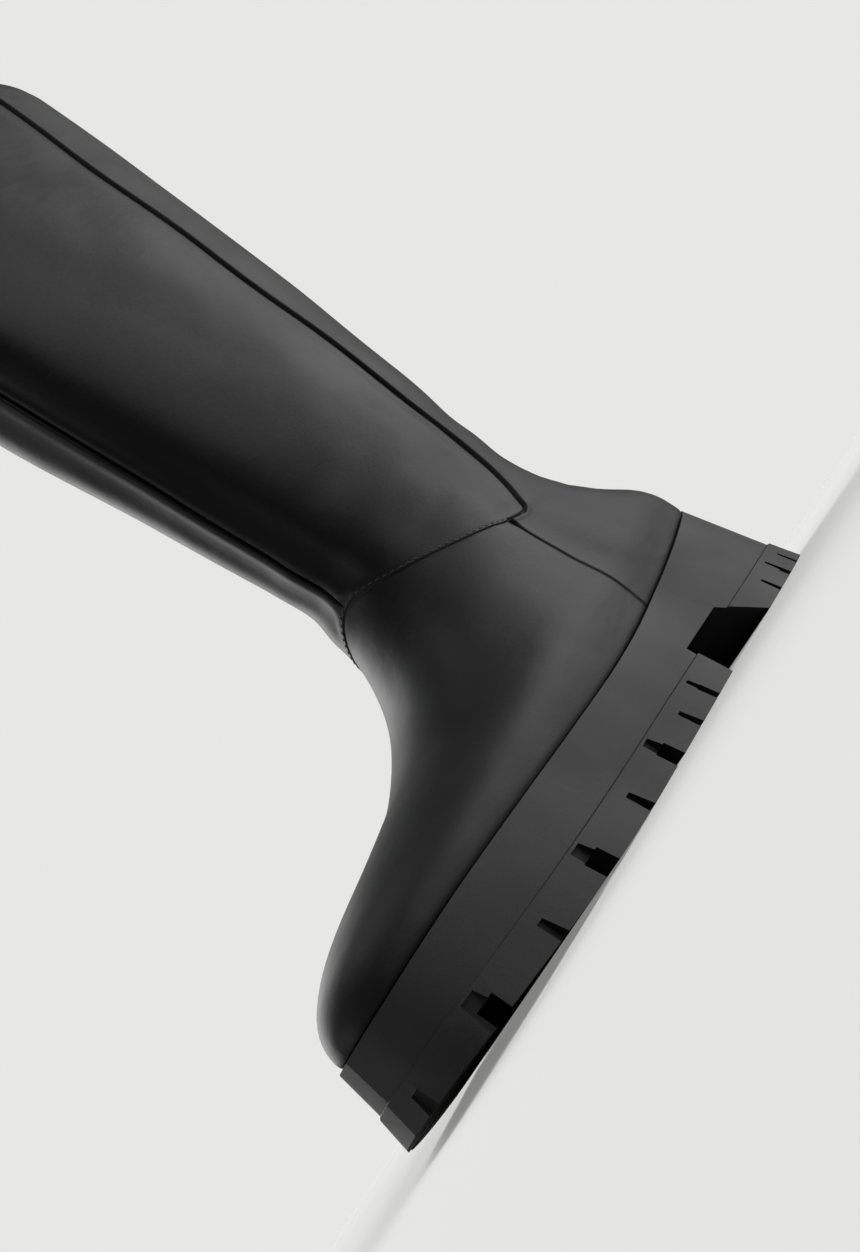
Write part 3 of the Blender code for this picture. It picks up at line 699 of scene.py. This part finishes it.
    def _angles(self, row: Array) -> Array:
        """Angle of every column at the given rows.

        Args:
            row: rows, shaped rows by columns.

        Returns:
            Angles of the same shape.
        """
        rear = self.last.seam_angle(row, self.last.rear_column)
        joint = self.last.seam_angle(row, self.last.joint_column)
        turn = self.last.front_turn_angle(row)
        angle = np.empty(row.shape)
        for j, (zone, f, side) in enumerate(self.columns):
            if zone is Zone.BACK:
                one = f * rear[:, j]
            elif zone is Zone.CORNER:
                one = rear[:, j] + f * (joint[:, j] - rear[:, j])
            else:
                one = joint[:, j] + f * (math.pi - side * turn[:, j] - joint[:, j])
            angle[:, j] = one if side > 0 else 2.0 * math.pi - one
        return angle

    def _seam_row(self) -> Array:
        """Row of the stitched seam in every column, found by halving."""

        def under(row: Array) -> Array:
            """Whether rows lie under the seam."""
            share = 0.5 * (1.0 - np.cos(self._angles(row)))
            s, z = self.last.on_chord(self.last.section(row), share)
            return z < self.last.stitch_height(s)

        low, high = (np.full((1, len(self.columns)), row) for row in self.seam_rows)
        return halved(low, high, under)[0]

    def _rows(self) -> None:
        """Rows from the sole to the stitched seam and on to the collar."""
        seam = self._seam_row()
        low = self._hugged(self.foot_rise, True, True)
        high = self._hugged(self.shaft_rise, True, False, self.corner_rise)
        top = self.last.last_row
        rows = [share * seam for share in low]
        rows += [seam + share * (top - seam) for share in high[1:]]
        self.row = np.array(rows)
        self.seam_row = len(low) - 1

    def _shape(self) -> None:
        """Outer face in the row frame, with its relief."""
        self.place = self.last.surface(self.row, self._angles(self.row))
        self.base = self._relax(self.last.to_row(self.place))
        self.normal = self._normals(self.base)
        self._measure()
        self.outer = self.base + self.normal * self._relief()[..., None]

    @staticmethod
    def _relax(points: Array, rounds: int = 3, share: float = 0.15) -> Array:
        """Evens small unevenness of a grid, its two rims kept.

        Args:
            points: the grid.
            rounds: how often it is evened.
            share: part of the way to the neighbours' mean.

        Returns:
            The evened grid.
        """
        for _ in range(rounds):
            beside = np.roll(points, 1, 1) + np.roll(points, -1, 1)
            mean = 0.25 * (beside[1:-1] + points[:-2] + points[2:])
            moved = points[1:-1] + share * (mean - points[1:-1])
            points = np.concatenate([points[:1], moved, points[-1:]])
        return points

    @staticmethod
    def _normals(points: Array) -> Array:
        """Outward unit normals of a grid that closes round the leg.

        Args:
            points: the grid.

        Returns:
            The normals, level at both rims.
        """
        along = np.roll(points, -1, axis=1) - np.roll(points, 1, axis=1)
        up = np.gradient(points, axis=0)
        normal = np.cross(along, up)
        normal /= np.maximum(np.linalg.norm(normal, axis=2, keepdims=True), 1e-12)
        centre = points.mean(axis=1, keepdims=True)
        facing = np.sum(normal * (points - centre), axis=2).mean()
        normal = normal if facing > 0 else -normal
        for row in (0, -1):
            normal[row, :, 2] = 0.0
            normal[row] /= np.linalg.norm(normal[row], axis=1, keepdims=True)
        return normal

    def _measure(self) -> None:
        """Distances on the leather from the seams, in metres."""
        step = np.linalg.norm(np.diff(self.base, axis=1), axis=2)
        run = np.concatenate([np.zeros((len(step), 1)), np.cumsum(step, axis=1)], axis=1)
        self.from_front = run - run[:, self.front_seam : self.front_seam + 1]
        station, height = self.place[..., 0], self.place[..., 2] - self.last.lift
        self.from_rear = self.last.from_panel_line(station, height)
        rise = np.linalg.norm(np.diff(self.base, axis=0), axis=2)
        climb = np.concatenate([np.zeros((1, rise.shape[1])), np.cumsum(rise, axis=0)])
        self.from_sole = climb
        self.from_stitch = climb - climb[self.seam_row]

    def _crease_depth(self, crease: Crease) -> Array:
        """Height that one crease adds over the whole leather.

        Args:
            crease: the crease.

        Returns:
            Heights in metres, strongest at the crease's middle.
        """
        unit = self.last.unit
        start = np.array(crease.start) * unit
        run = np.array(crease.end) * unit - start
        point = self.place[..., (0, 2)] - start
        along = np.clip((point @ run) / float(run @ run), 0.0, 1.0)
        gap = np.linalg.norm(point - along[..., None] * run, axis=2)
        shape = crease.depth * MM * bell(gap, 0.0, crease.width * unit)
        shape = shape * (0.35 + 0.65 * np.sin(np.pi * (0.15 + 0.7 * along)))
        if crease.side is Side.BOTH:
            return shape
        across = self.place[..., 1] - self.last.axis(self.place[..., 0])
        return shape * ramp(crease.side.value * across, self.side_begins)

    def _relief(self) -> Array:
        """Height of panels, seams and creases over the plain form."""
        rear, front, stitch = self.from_rear, np.abs(self.from_front), self.from_stitch
        turned = ease(self.place[..., 2], *self.turned_heights)
        step = self.panel_step * (self.flat_step + (1.0 - self.flat_step) * turned)
        depth = self.groove * (self.flat_groove + (1.0 - self.flat_groove) * turned)
        width = self.groove_width + self.groove_spread * turned
        relief = step * (1.0 - ramp(rear, self.panel_edge)) - depth * bell(rear, self.groove_place, width)
        relief += turned * sum(ripple.over(rear) for ripple in self.rear_ripples)
        edge = ramp(stitch, self.overlap_edge) * (1.0 - ramp(stitch, self.overlap_fades))
        drawn_in = sum(ripple.over(stitch) for ripple in self.stitch_ripples)
        relief += ramp(rear, self.ahead_of_seam) * (self.overlap * edge + drawn_in)
        folded = sum(ripple.over(front) for ripple in self.front_ripples)
        relief += ramp(stitch, self.front_begins) * folded
        relief *= 1.0 - self.collar_loss * ramp(self.from_sole - self.from_sole[-1], self.collar_begins)
        relief -= self.tuck * np.exp(-self.from_sole / self.tuck_height)
        relief += sum(self._crease_depth(crease) for crease in self.creases)
        wave = sum(part * np.sin(self.base @ np.array(way) + phase) for part, way, phase in self.waves)
        return relief + ramp(self.from_sole, self.waves_begin) * self.wave_height * wave

    def _collar_roll(self, outer: Array, inner: Array) -> list[Array]:
        """Loops that round the edge between two rims."""
        middle, half = 0.5 * (outer + inner), 0.5 * (outer - inner)
        rise = np.array([0.0, 0.0, self.rim_rise])
        turns = np.radians((30.0, 60.0, 90.0, 120.0, 150.0))
        return [middle + half * math.cos(a) + rise * math.sin(a) for a in turns]

    def _closed(self, name: str, outer: Array, inner: Array) -> bpy.types.Object:
        """Makes a closed shell from two faces that share their columns.

        Args:
            name: name of the piece.
            outer: outer face, rows from the sole to the collar.
            inner: inner face, rows from the sole to the collar.

        Returns:
            The shell.
        """
        loops = list(outer) + self._collar_roll(outer[-1], inner[-1]) + list(inner[::-1])
        grid = np.array(loops)
        count, columns = grid.shape[:2]
        index = np.arange(count * columns).reshape(count, columns)
        ring = np.vstack([index, index[:1]])
        right = np.roll(ring, -1, axis=1)
        quads = np.stack([ring[:-1], right[:-1], right[1:], ring[1:]], axis=-1).reshape(-1, 4)
        return new_piece(name, grid.reshape(-1, 3).tolist(), quads.tolist())

    def _under(self, depth: float) -> Array:
        """Every fourth row of the face that lies a depth inside the plain form."""
        picked = np.unique(np.append(np.arange(0, len(self.base), 4), len(self.base) - 1))
        return (self.base - self.normal * depth)[picked]

    def build_leather(self) -> bpy.types.Object:
        """Builds the leather."""
        return self._closed("upper_leather", self.outer, self._under(self.wall))

    def build_lining(self) -> bpy.types.Object:
        """Builds the lining that backs the leather, its top a little below the collar."""
        outer, inner = (self._under(self.wall + gap) for gap in (self.lining_gap, self.lining_wall))
        outer[-1, :, 2] -= self.lining_drop
        inner[-1, :, 2] -= self.lining_drop
        return self._closed("upper_lining", outer[:, ::2], inner[:, ::2])

    def stitch_path(self, side: Side) -> tuple[Array, Array]:
        """Path of the stitches on the shaft's lower edge.

        Args:
            side: inner or outer side.

        Returns:
            Points and normals from the rear seam to the front seam.
        """
        order = range(self.front_seam - self.stitch_clear)
        if side is Side.OUTER:
            order = range(len(self.columns) - 1, self.front_seam + self.stitch_clear, -1)
        at_stitches = self.seam_row + np.searchsorted(self.hug, self.stitch_line / MM)
        order = [j for j in order if self.from_rear[at_stitches, j] > self.stitch_start]
        points, normals = (
            [at_run(self.stitch_line, self.from_stitch[:, j], values[:, j]) for j in order]
            for values in (self.outer, self.normal)
        )
        return np.array(points), np.array(normals)


@dataclass
class Stitches:
    """Rows of stitches along paths on the leather."""

    pitch: float = 2.7 * MM
    share: float = 0.66
    radius: float = 0.19 * MM
    end_share: float = 0.25
    rise: float = 0.10 * MM
    end_drop: float = 0.42 * MM
    reach: float = 0.3 * MM
    sides: int = 8
    rings: tuple = (-1.0, -0.82, -0.45, 0.0, 0.45, 0.82, 1.0)

    def build(self, name: str, paths: list[tuple[Array, Array]]) -> bpy.types.Object:
        """Lays the stitches along the paths.

        Args:
            name: name of the piece.
            paths: points and normals of each path.

        Returns:
            One mesh with every stitch.
        """
        vertices: list[list[float]] = []
        faces: list[list[int]] = []
        for points, normals in paths:
            run = np.linalg.norm(np.diff(points, axis=0), axis=1)
            along = np.concatenate([[0.0], np.cumsum(run)])
            count = int(along[-1] / self.pitch)
            for k in range(count):
                faces += self._faces(len(vertices))
                middle = (k + 0.5) * along[-1] / count
                vertices += self._one(points, normals, along, middle)
        return new_piece(name, vertices, faces)

    def _one(self, points: Array, normals: Array, along: Array, middle: float) -> list[list[float]]:
        """Shapes one stitch, its ends drawn into the leather.

        Args:
            points: points of the path.
            normals: normals of the path.
            along: run of the path at each point.
            middle: run of the path at the stitch's middle.

        Returns:
            The stitch's vertices, ring by ring.
        """
        turns = 2.0 * math.pi * np.arange(self.sides) / self.sides
        vertices: list[list[float]] = []
        for place in self.rings:
            run = middle + place * 0.5 * self.pitch * self.share
            ahead, behind = (at_run(run + way * self.reach, along, points) for way in (1.0, -1.0))
            tangent = (ahead - behind) / max(np.linalg.norm(ahead - behind), 1e-9)
            normal = at_run(run, along, normals)
            normal = normal / np.linalg.norm(normal)
            round_share = math.sqrt(max(1.0 - place**2, 0.0))
            thick = self.radius * (self.end_share + (1.0 - self.end_share) * round_share)
            centre = at_run(run, along, points) + normal * (self.rise - self.end_drop * place**4)
            across = np.outer(np.cos(turns), np.cross(tangent, normal))
            ring = centre + thick * (across + np.outer(np.sin(turns), normal))
            vertices += ring.tolist()
        return vertices

    def _faces(self, first: int) -> list[list[int]]:
        """Faces of one stitch whose vertices start at a number."""
        index = first + np.arange(self.sides * len(self.rings)).reshape(-1, self.sides)
        beside = np.roll(index, -1, axis=1)
        walls = np.stack([index[:-1], beside[:-1], beside[1:], index[1:]], -1).reshape(-1, 4)
        return [*walls.tolist(), index[0, ::-1].tolist(), index[-1].tolist()]


def new_group(
    name: str, inputs: dict[str, float], outputs: dict[str, str]
) -> tuple[Tree, Node, Node]:
    """Makes an empty shader node group.

    Args:
        name: name of the group.
        inputs: names and default values of its float inputs.
        outputs: names and socket types of its outputs.

    Returns:
        The group's tree, its input node and its output node.
    """
    tree = bpy.data.node_groups.new(name, "ShaderNodeTree")
    for label, value in inputs.items():
        socket = tree.interface.new_socket(label, in_out="INPUT", socket_type="NodeSocketFloat")
        socket.default_value = value
    for label, kind in outputs.items():
        tree.interface.new_socket(label, in_out="OUTPUT", socket_type=kind)
    return tree, tree.nodes.new("NodeGroupInput"), tree.nodes.new("NodeGroupOutput")


def fill(tree: Tree, node: Node, inputs: dict) -> None:
    """Sets inputs of a node to numbers or colours, or links them to sockets.

    Args:
        tree: the node's tree.
        node: the node.
        inputs: what each input gets, by its name or number.
    """
    for label, value in inputs.items():
        if isinstance(value, Socket):
            tree.links.new(value, node.inputs[label])
        else:
            node.inputs[label].default_value = value


def add(tree: Tree, kind: str, inputs: dict | None = None, **options: object) -> Node:
    """Adds a node.

    Args:
        tree: tree that gets the node.
        kind: the node's type.
        inputs: what each input gets, by its name or number.
        options: the node's own settings.

    Returns:
        The node.
    """
    node = tree.nodes.new(kind)
    for label, value in options.items():
        setattr(node, label, value)
    fill(tree, node, inputs or {})
    return node


def math_node(tree: Tree, operation: str, first: object, second: object) -> Socket:
    """Result of a Math node for sockets or numbers."""
    return add(tree, "ShaderNodeMath", {0: first, 1: second}, operation=operation).outputs[0]


def object_place(tree: Tree) -> Socket:
    """Object coordinates, in metres."""
    return add(tree, "ShaderNodeTexCoord").outputs["Object"]


def noise(tree: Tree, place: Socket, scale: object, detail: float) -> Socket:
    """Noise value at a place, for a scale and a number of octaves."""
    inputs = {"Vector": place, "Scale": scale, "Detail": detail}
    return add(tree, "ShaderNodeTexNoise", inputs).outputs["Fac"]


def span(
    tree: Tree, value: Socket, source: tuple[float, float], target: tuple[float, float]
) -> Socket:
    """Value mapped from one range to another, clamped."""
    limits = dict(zip(("From Min", "From Max", "To Min", "To Max"), (*source, *target)))
    return add(tree, "ShaderNodeMapRange", {"Value": value, **limits}).outputs["Result"]


def colour_mix(tree: Tree, share: Socket, low: object, high: object) -> Socket:
    """Colour between two colours by a share."""
    inputs = {"Factor": share, "A": low, "B": high}
    return add(tree, "ShaderNodeMix", inputs, data_type="RGBA").outputs["Result"]


def opaque(colour: Triple) -> tuple:
    """Colour with full alpha."""
    return (*colour, 1.0)


def bump_node(tree: Tree, height: object, strength: float, depth: float) -> Node:
    """Bump of a height that is a depth in metres when full."""
    inputs = {"Height": height, "Strength": strength, "Distance": depth}
    return add(tree, "ShaderNodeBump", inputs)


def grain_group() -> Tree:
    """Fine grain: rounded cells with pores, as a height."""
    tree, given, result = new_group(
        "fine_grain",
        {"Cells": 900.0, "Pores": 2600.0, "Pore Share": 0.35},
        {"Height": "NodeSocketFloat"},
    )
    place = object_place(tree)
    inputs = {"Vector": place, "Scale": given.outputs["Cells"], "Smoothness": 0.45}
    cells = add(tree, "ShaderNodeTexVoronoi", inputs, feature="SMOOTH_F1")
    pores = noise(tree, place, given.outputs["Pores"], 2.0)
    part = math_node(tree, "MULTIPLY", pores, given.outputs["Pore Share"])
    fill(tree, result, {"Height": math_node(tree, "SUBTRACT", part, cells.outputs["Distance"])})
    return tree


def uneven_group() -> Tree:
    """Soft unevenness with fine wrinkles that run across the leg, as a height."""
    tree, given, result = new_group(
        "soft_unevenness",
        {"Swells": 34.0, "Wrinkles": 170.0, "Wrinkle Share": 0.12},
        {"Height": "NodeSocketFloat"},
    )
    place = object_place(tree)
    swells = noise(tree, place, given.outputs["Swells"], 1.0)
    inputs = {0: place, 1: (1.0, 0.55, 1.6)}
    stretched = add(tree, "ShaderNodeVectorMath", inputs, operation="MULTIPLY").outputs["Vector"]
    wrinkles = noise(tree, stretched, given.outputs["Wrinkles"], 2.0)
    part = math_node(tree, "MULTIPLY", wrinkles, given.outputs["Wrinkle Share"])
    fill(tree, result, {"Height": math_node(tree, "ADD", swells, part)})
    return tree


def handling_group() -> Tree:
    """Cloudy marks of handling: a mask and a finer mask."""
    tree, given, result = new_group(
        "handling",
        {"Size": 14.0, "Fine": 160.0},
        {"Cloud": "NodeSocketFloat", "Speck": "NodeSocketFloat"},
    )
    place = object_place(tree)
    cloud = noise(tree, place, given.outputs["Size"], 4.0)
    speck = noise(tree, place, given.outputs["Fine"], 5.0)
    cloud_mask = span(tree, cloud, (0.35, 0.68), (0.0, 1.0))
    speck_mask = span(tree, speck, (0.52, 0.74), (0.0, 1.0))
    fill(tree, result, {"Cloud": cloud_mask, "Speck": speck_mask})
    return tree


@dataclass(frozen=True)
class Effects:
    """Shader node groups that the finishes share."""

    grain: Tree
    marks: Tree
    uneven: Tree


@dataclass(frozen=True)
class Finish:
    """Finish with cloudy colour and gloss and a fine bumped grain."""

    name: str
    dark: Triple
    light: Triple
    gloss: tuple[float, float]
    cells: float
    pores: float
    pore_share: float
    bump: float
    cloud_size: float
    specular: float = 0.5
    sheen: float = 0.0
    speck: float = 0.0
    speck_colour: Triple = (0.1, 0.1, 0.1)
    uneven: float = 0.0
    grain_depth: float = 0.12 * MM
    speck_size: float = 11.0

    def build(self, effects: Effects) -> bpy.types.Material:
        """Builds the material.

        Args:
            effects: the shared shader effects.

        Returns:
            The material.
        """
        material = bpy.data.materials.new(self.name)
        material.use_nodes = True
        tree = material.node_tree
        sizes = {"Size": self.cloud_size, "Fine": self.speck_size * self.cloud_size}
        touch = add(tree, "ShaderNodeGroup", sizes, node_tree=effects.marks)
        cloud = touch.outputs["Cloud"]
        sizes = {"Cells": self.cells, "Pores": self.pores, "Pore Share": self.pore_share}
        fine = add(tree, "ShaderNodeGroup", sizes, node_tree=effects.grain)
        colour = colour_mix(tree, cloud, opaque(self.dark), opaque(self.light))
        if self.speck > 0.0:
            share = math_node(tree, "MULTIPLY", touch.outputs["Speck"], self.speck)
            colour = colour_mix(tree, share, colour, opaque(self.speck_colour))
        bump = bump_node(tree, fine.outputs["Height"], self.bump, self.grain_depth)
        if self.uneven > 0.0:
            soft = add(tree, "ShaderNodeGroup", node_tree=effects.uneven)
            swell = bump_node(tree, soft.outputs["Height"], 1.0, self.uneven)
            fill(tree, bump, {"Normal": swell.outputs["Normal"]})
        inputs = {
            "Base Color": colour,
            "Roughness": span(tree, cloud, (0.0, 1.0), self.gloss),
            "Normal": bump.outputs["Normal"],
            "Specular IOR Level": self.specular,
            "Sheen Weight": self.sheen,
        }
        fill(tree, tree.nodes["Principled BSDF"], inputs)
        return material


LEATHER = Finish(
    name="satin_leather",
    dark=(0.0042, 0.0042, 0.0043),
    light=(0.0062, 0.0060, 0.0062),
    gloss=(0.46, 0.54),
    cells=950.0,
    pores=3000.0,
    pore_share=0.5,
    bump=0.16,
    cloud_size=16.0,
    specular=0.30,
    uneven=1.1 * MM,
)
RUBBER = Finish(
    name="moulded_rubber",
    dark=(0.0110, 0.0106, 0.0106),
    light=(0.0160, 0.0154, 0.0154),
    gloss=(0.52, 0.64),
    cells=2400.0,
    pores=5200.0,
    pore_share=0.8,
    bump=0.20,
    cloud_size=22.0,
    specular=0.45,
    speck=0.10,
    speck_colour=(0.055, 0.053, 0.052),
)
LINING = Finish(
    name="smooth_lining",
    dark=(0.050, 0.048, 0.046),
    light=(0.070, 0.067, 0.064),
    gloss=(0.62, 0.74),
    cells=1500.0,
    pores=4200.0,
    pore_share=0.6,
    bump=0.22,
    cloud_size=20.0,
    specular=0.35,
)
INSOLE = Finish(
    name="insole_cover",
    dark=(0.060, 0.057, 0.054),
    light=(0.085, 0.081, 0.077),
    gloss=(0.66, 0.80),
    cells=1300.0,
    pores=3600.0,
    pore_share=0.8,
    bump=0.3,
    cloud_size=26.0,
    specular=0.3,
    sheen=0.2,
)
THREAD = Finish(
    name="waxed_thread",
    dark=(0.050, 0.050, 0.051),
    light=(0.085, 0.084, 0.084),
    gloss=(0.42, 0.55),
    cells=4200.0,
    pores=6000.0,
    pore_share=0.4,
    bump=0.3,
    cloud_size=40.0,
)


@dataclass
class Sole:
    """The moulded outsole and the insole, kept from the frame with their own finish."""

    edge_radius: float = 0.45 * MM
    cover_radius: float = 0.8 * MM
    joined: float = 0.01 * MM
    edge_angle: float = 34.0
    soft_angle: float = 24.0

    def shading(self) -> Tree:
        """Geometry nodes that shade curved walls smooth and keep moulded edges crisp."""
        tree = bpy.data.node_groups.new("moulded_shading", "GeometryNodeTree")
        for way in ("INPUT", "OUTPUT"):
            tree.interface.new_socket("Geometry", in_out=way, socket_type="NodeSocketGeometry")
        angle = add(tree, "GeometryNodeInputMeshEdgeAngle").outputs["Unsigned Angle"]
        inputs = {"A": angle, "B": math.radians(self.soft_angle)}
        crisp = add(tree, "FunctionNodeCompare", inputs, operation="GREATER_THAN")
        inputs = {
            "Mesh": add(tree, "NodeGroupInput").outputs["Geometry"],
            "Remove Custom": True,
            "Edge Sharpness": crisp.outputs["Result"],
            "Face Sharpness": False,
        }
        normals = add(tree, "GeometryNodeSetMeshNormal", inputs, mode="SHARPNESS")
        add(tree, "NodeGroupOutput", {"Geometry": normals.outputs["Mesh"]})
        return tree

    def dress(self, nodes: dict, rubber: bpy.types.Material, cover: bpy.types.Material) -> None:
        """Rounds the moulded edges a little and gives both their finish.

        Args:
            nodes: the frame's nodes by name.
            rubber: finish of the outsole.
            cover: finish of the insole.
        """
        shading = self.shading()
        for name, finish, radius in (
            ("outsole", rubber, self.edge_radius),
            ("insole", cover, self.cover_radius),
        ):
            node = nodes[name]
            node.data.materials.clear()
            node.data.materials.append(finish)
            joined = node.modifiers.new("joined_faces", "WELD")
            joined.merge_threshold = self.joined
            bevel = node.modifiers.new("moulded_edges", "BEVEL")
            bevel.width = radius
            bevel.segments = 2
            bevel.limit_method = "ANGLE"
            bevel.angle_limit = math.radians(self.edge_angle)
            node.modifiers.new("smooth_walls", "NODES").node_group = shading
            node.modifiers.new("even_normals", "WEIGHTED_NORMAL").keep_sharp = True
            LOG.info("%s: kept from the frame, %d faces", name, len(node.data.polygons))


@dataclass(frozen=True)
class SoftBox:
    """One large square lamp that faces the boot."""

    name: str
    place: Triple
    size: float
    power: float
    aim: Triple = (0.0, 0.0, 0.12)

    def build(self) -> None:
        """Hangs the lamp and turns it to the ankle."""
        data = bpy.data.lights.new(self.name, "AREA")
        data.shape = "SQUARE"
        data.size = self.size
        data.energy = self.power
        lamp = bpy.data.objects.new(self.name, data)
        lamp.location = Vector(self.place)
        lamp.rotation_mode = "QUATERNION"
        lamp.rotation_quaternion = (Vector(self.aim) - lamp.location).to_track_quat("-Z", "Y")
        lamp.visible_camera = False
        bpy.context.scene.collection.objects.link(lamp)


@dataclass
class Stage:
    """Pale floor, backdrop, lights and camera."""

    last: Last

    # Floor: radius, corners, distances over which it turns clear, colours and own light
    floor_radius: float = 2.4
    floor_corners: int = 96
    fade: tuple = (0.24, 0.95)
    floor_colour: tuple = (0.80, 0.80, 0.79)
    floor_glow: float = 0.275
    seen_by_leather: tuple = (0.42, 0.42, 0.42)
    backdrop: tuple = (0.800, 0.800, 0.785)

    # Light from all round: its colour, the way to its brightest part, and the range of
    # nearness to that way over which its strength rises
    air_colour: tuple = (0.97, 0.98, 1.0)
    behind: tuple = (0.25, 0.90, 0.10)
    behind_range: tuple = (-0.4, 1.0)
    air_strength: tuple = (0.02, 0.26)

    # Camera: focal length in pixels, places in divisions, and the shaft's turn in degrees
    focal_pixels: float = 1445.0
    eye: tuple = (495.0, 269.0, 12.0)
    target: tuple = (126.0, 0.0, 87.0)
    shaft_on_screen: float = 147.0
    lamps: tuple = (
        SoftBox("key", (2.3, 3.5, 0.95), 2.7, 68.0),
        SoftBox("inner", (4.2, 0.5, 1.8), 3.4, 62.0),
        SoftBox("outer", (-3.7, 0.7, 2.0), 3.4, 110.0),
        SoftBox("fill", (-1.7, -3.7, 1.8), 2.8, 40.0),
        SoftBox("ceiling", (0.2, 0.6, 4.2), 2.6, 30.0),
    )

    def build(self) -> None:
        """Builds floor, world, lamps and camera."""
        bpy.context.scene.view_settings.view_transform = "Standard"
        self._floor()
        self._world()
        for lamp in self.lamps:
            lamp.build()
        self._camera()

    def _floor(self) -> None:
        """Large pale floor that runs out into the backdrop."""
        turns = 2.0 * math.pi * np.arange(self.floor_corners) / self.floor_corners
        rim = self.floor_radius * np.stack([np.cos(turns), np.sin(turns), 0.0 * turns], 1)
        floor = new_piece("floor", rim.tolist(), [list(range(self.floor_corners))])
        floor.data.materials.append(self._floor_material())

    def _floor_material(self) -> bpy.types.Material:
        """Pale matte floor with a little light of its own, clear at its rim."""
        material = bpy.data.materials.new("pale_floor")
        material.use_nodes = True
        tree = material.node_tree
        tree.nodes.clear()
        pale = opaque(self.floor_colour)
        matte = add(tree, "ShaderNodeBsdfDiffuse", {"Color": pale})
        glow = add(tree, "ShaderNodeEmission", {"Color": pale, "Strength": self.floor_glow})
        seen = add(tree, "ShaderNodeAddShader", {0: matte.outputs[0], 1: glow.outputs[0]})
        dim = add(tree, "ShaderNodeBsdfDiffuse", {"Color": opaque(self.seen_by_leather)})
        by_ray = self._by_camera(tree, dim, seen)
        far = add(tree, "ShaderNodeVectorMath", {0: object_place(tree)}, operation="LENGTH")
        limits = {"From Min": self.fade[0], "From Max": self.fade[1], "Value": far.outputs["Value"]}
        fade = add(tree, "ShaderNodeMapRange", limits, interpolation_type="SMOOTHERSTEP")
        clear = add(tree, "ShaderNodeBsdfTransparent")
        mixed = {0: fade.outputs["Result"], 1: by_ray.outputs[0], 2: clear.outputs[0]}
        ends = add(tree, "ShaderNodeMixShader", mixed)
        add(tree, "ShaderNodeOutputMaterial", {0: ends.outputs[0]})
        return material

    @staticmethod
    def _by_camera(tree: Tree, other: Node, seen: Node) -> Node:
        """Mixes two shaders: one for rays from the camera, one for all others."""
        is_seen = add(tree, "ShaderNodeLightPath").outputs["Is Camera Ray"]
        return add(tree, "ShaderNodeMixShader", {0: is_seen, 1: other.outputs[0], 2: seen.outputs[0]})

    def _world(self) -> None:
        """Even pale backdrop; what the boot mirrors is bright behind it and dark before it."""
        world = bpy.data.worlds.new("studio")
        world.use_nodes = True
        tree = world.node_tree
        tree.nodes.clear()
        seen = add(tree, "ShaderNodeBackground", {"Color": opaque(self.backdrop)})
        way = add(tree, "ShaderNodeTexCoord").outputs["Generated"]
        inputs = {0: way, 1: Vector(self.behind).normalized()}
        toward = add(tree, "ShaderNodeVectorMath", inputs, operation="DOT_PRODUCT").outputs["Value"]
        strength = span(tree, toward, self.behind_range, self.air_strength)
        inputs = {"Color": opaque(self.air_colour), "Strength": strength}
        light = add(tree, "ShaderNodeBackground", inputs)
        add(tree, "ShaderNodeOutputWorld", {0: self._by_camera(tree, light, seen).outputs[0]})
        bpy.context.scene.world = world

    def _camera(self) -> None:
        """Camera on the photo's side of the boot, lowered to the floor and rolled."""
        eye, aim = (
            Vector(self.last.to_row(np.array(place) * self.last.unit))
            for place in (self.eye, self.target)
        )
        look = (aim - eye).normalized()
        shaft = Vector((0.0, 0.0, 1.0))
        shaft = (shaft - look * shaft.dot(look)).normalized()
        across = (-look).cross(shaft)
        turn = math.radians(self.shaft_on_screen)
        right = shaft * math.cos(turn) - across * math.sin(turn)
        up = shaft * math.sin(turn) + across * math.cos(turn)
        data = bpy.data.cameras.new("camera")
        data.sensor_fit = "AUTO"
        data.sensor_width = 36.0
        data.lens = data.sensor_width * self.focal_pixels / PICTURE_HEIGHT
        data.clip_start = 0.01
        camera = bpy.data.objects.new("camera", data)
        matrix = Matrix((right, up, -look)).transposed().to_4x4()
        matrix.translation = eye
        camera.matrix_world = matrix
        bpy.context.scene.collection.objects.link(camera)
        bpy.context.scene.camera = camera


def dress(piece: bpy.types.Object, material: bpy.types.Material) -> None:
    """Gives a piece its finish and lets it ride on the boot.

    Args:
        piece: the piece.
        material: its finish.
    """
    piece.data.materials.append(material)
    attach(piece, "root")
    LOG.info("%s: %d faces", piece.name, len(piece.data.polygons))


def read_last() -> Last:
    """Reads the boot's length and place from the frame."""
    low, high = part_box("outsole")
    draft = Last(length=high.y - low.y, heel_y=high.y, middle_x=0.0)
    widest = max(row[1] for row in draft.outline)
    narrowest = min(row[2] for row in draft.outline)
    middle = 0.5 * (low.x + high.x) - 0.5 * (widest + narrowest) * draft.unit
    return replace(draft, middle_x=middle)


def main() -> None:
    """Loads the frame, builds every piece and sets the stage."""
    logging.basicConfig(level=logging.INFO, format="%(message)s")
    for item in list(bpy.data.objects):
        bpy.data.objects.remove(item)
    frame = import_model()
    last = read_last()
    LOG.info("sole %.1f mm, middle line at x = %.2f mm", last.length / MM, last.middle_x / MM)
    effects = Effects(grain_group(), handling_group(), uneven_group())
    shell = LeatherShell(last)
    leather = shell.build_leather()
    dress(leather, LEATHER.build(effects))
    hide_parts("upper")
    dress(shell.build_lining(), LINING.build(effects))
    paths = [shell.stitch_path(side) for side in (Side.INNER, Side.OUTER)]
    dress(Stitches().build("vamp_stitches", paths), THREAD.build(effects))
    Sole().dress(frame["nodes"], RUBBER.build(effects), INSOLE.build(effects))
    Stage(last).build()


if __name__ == "__main__":
    main()
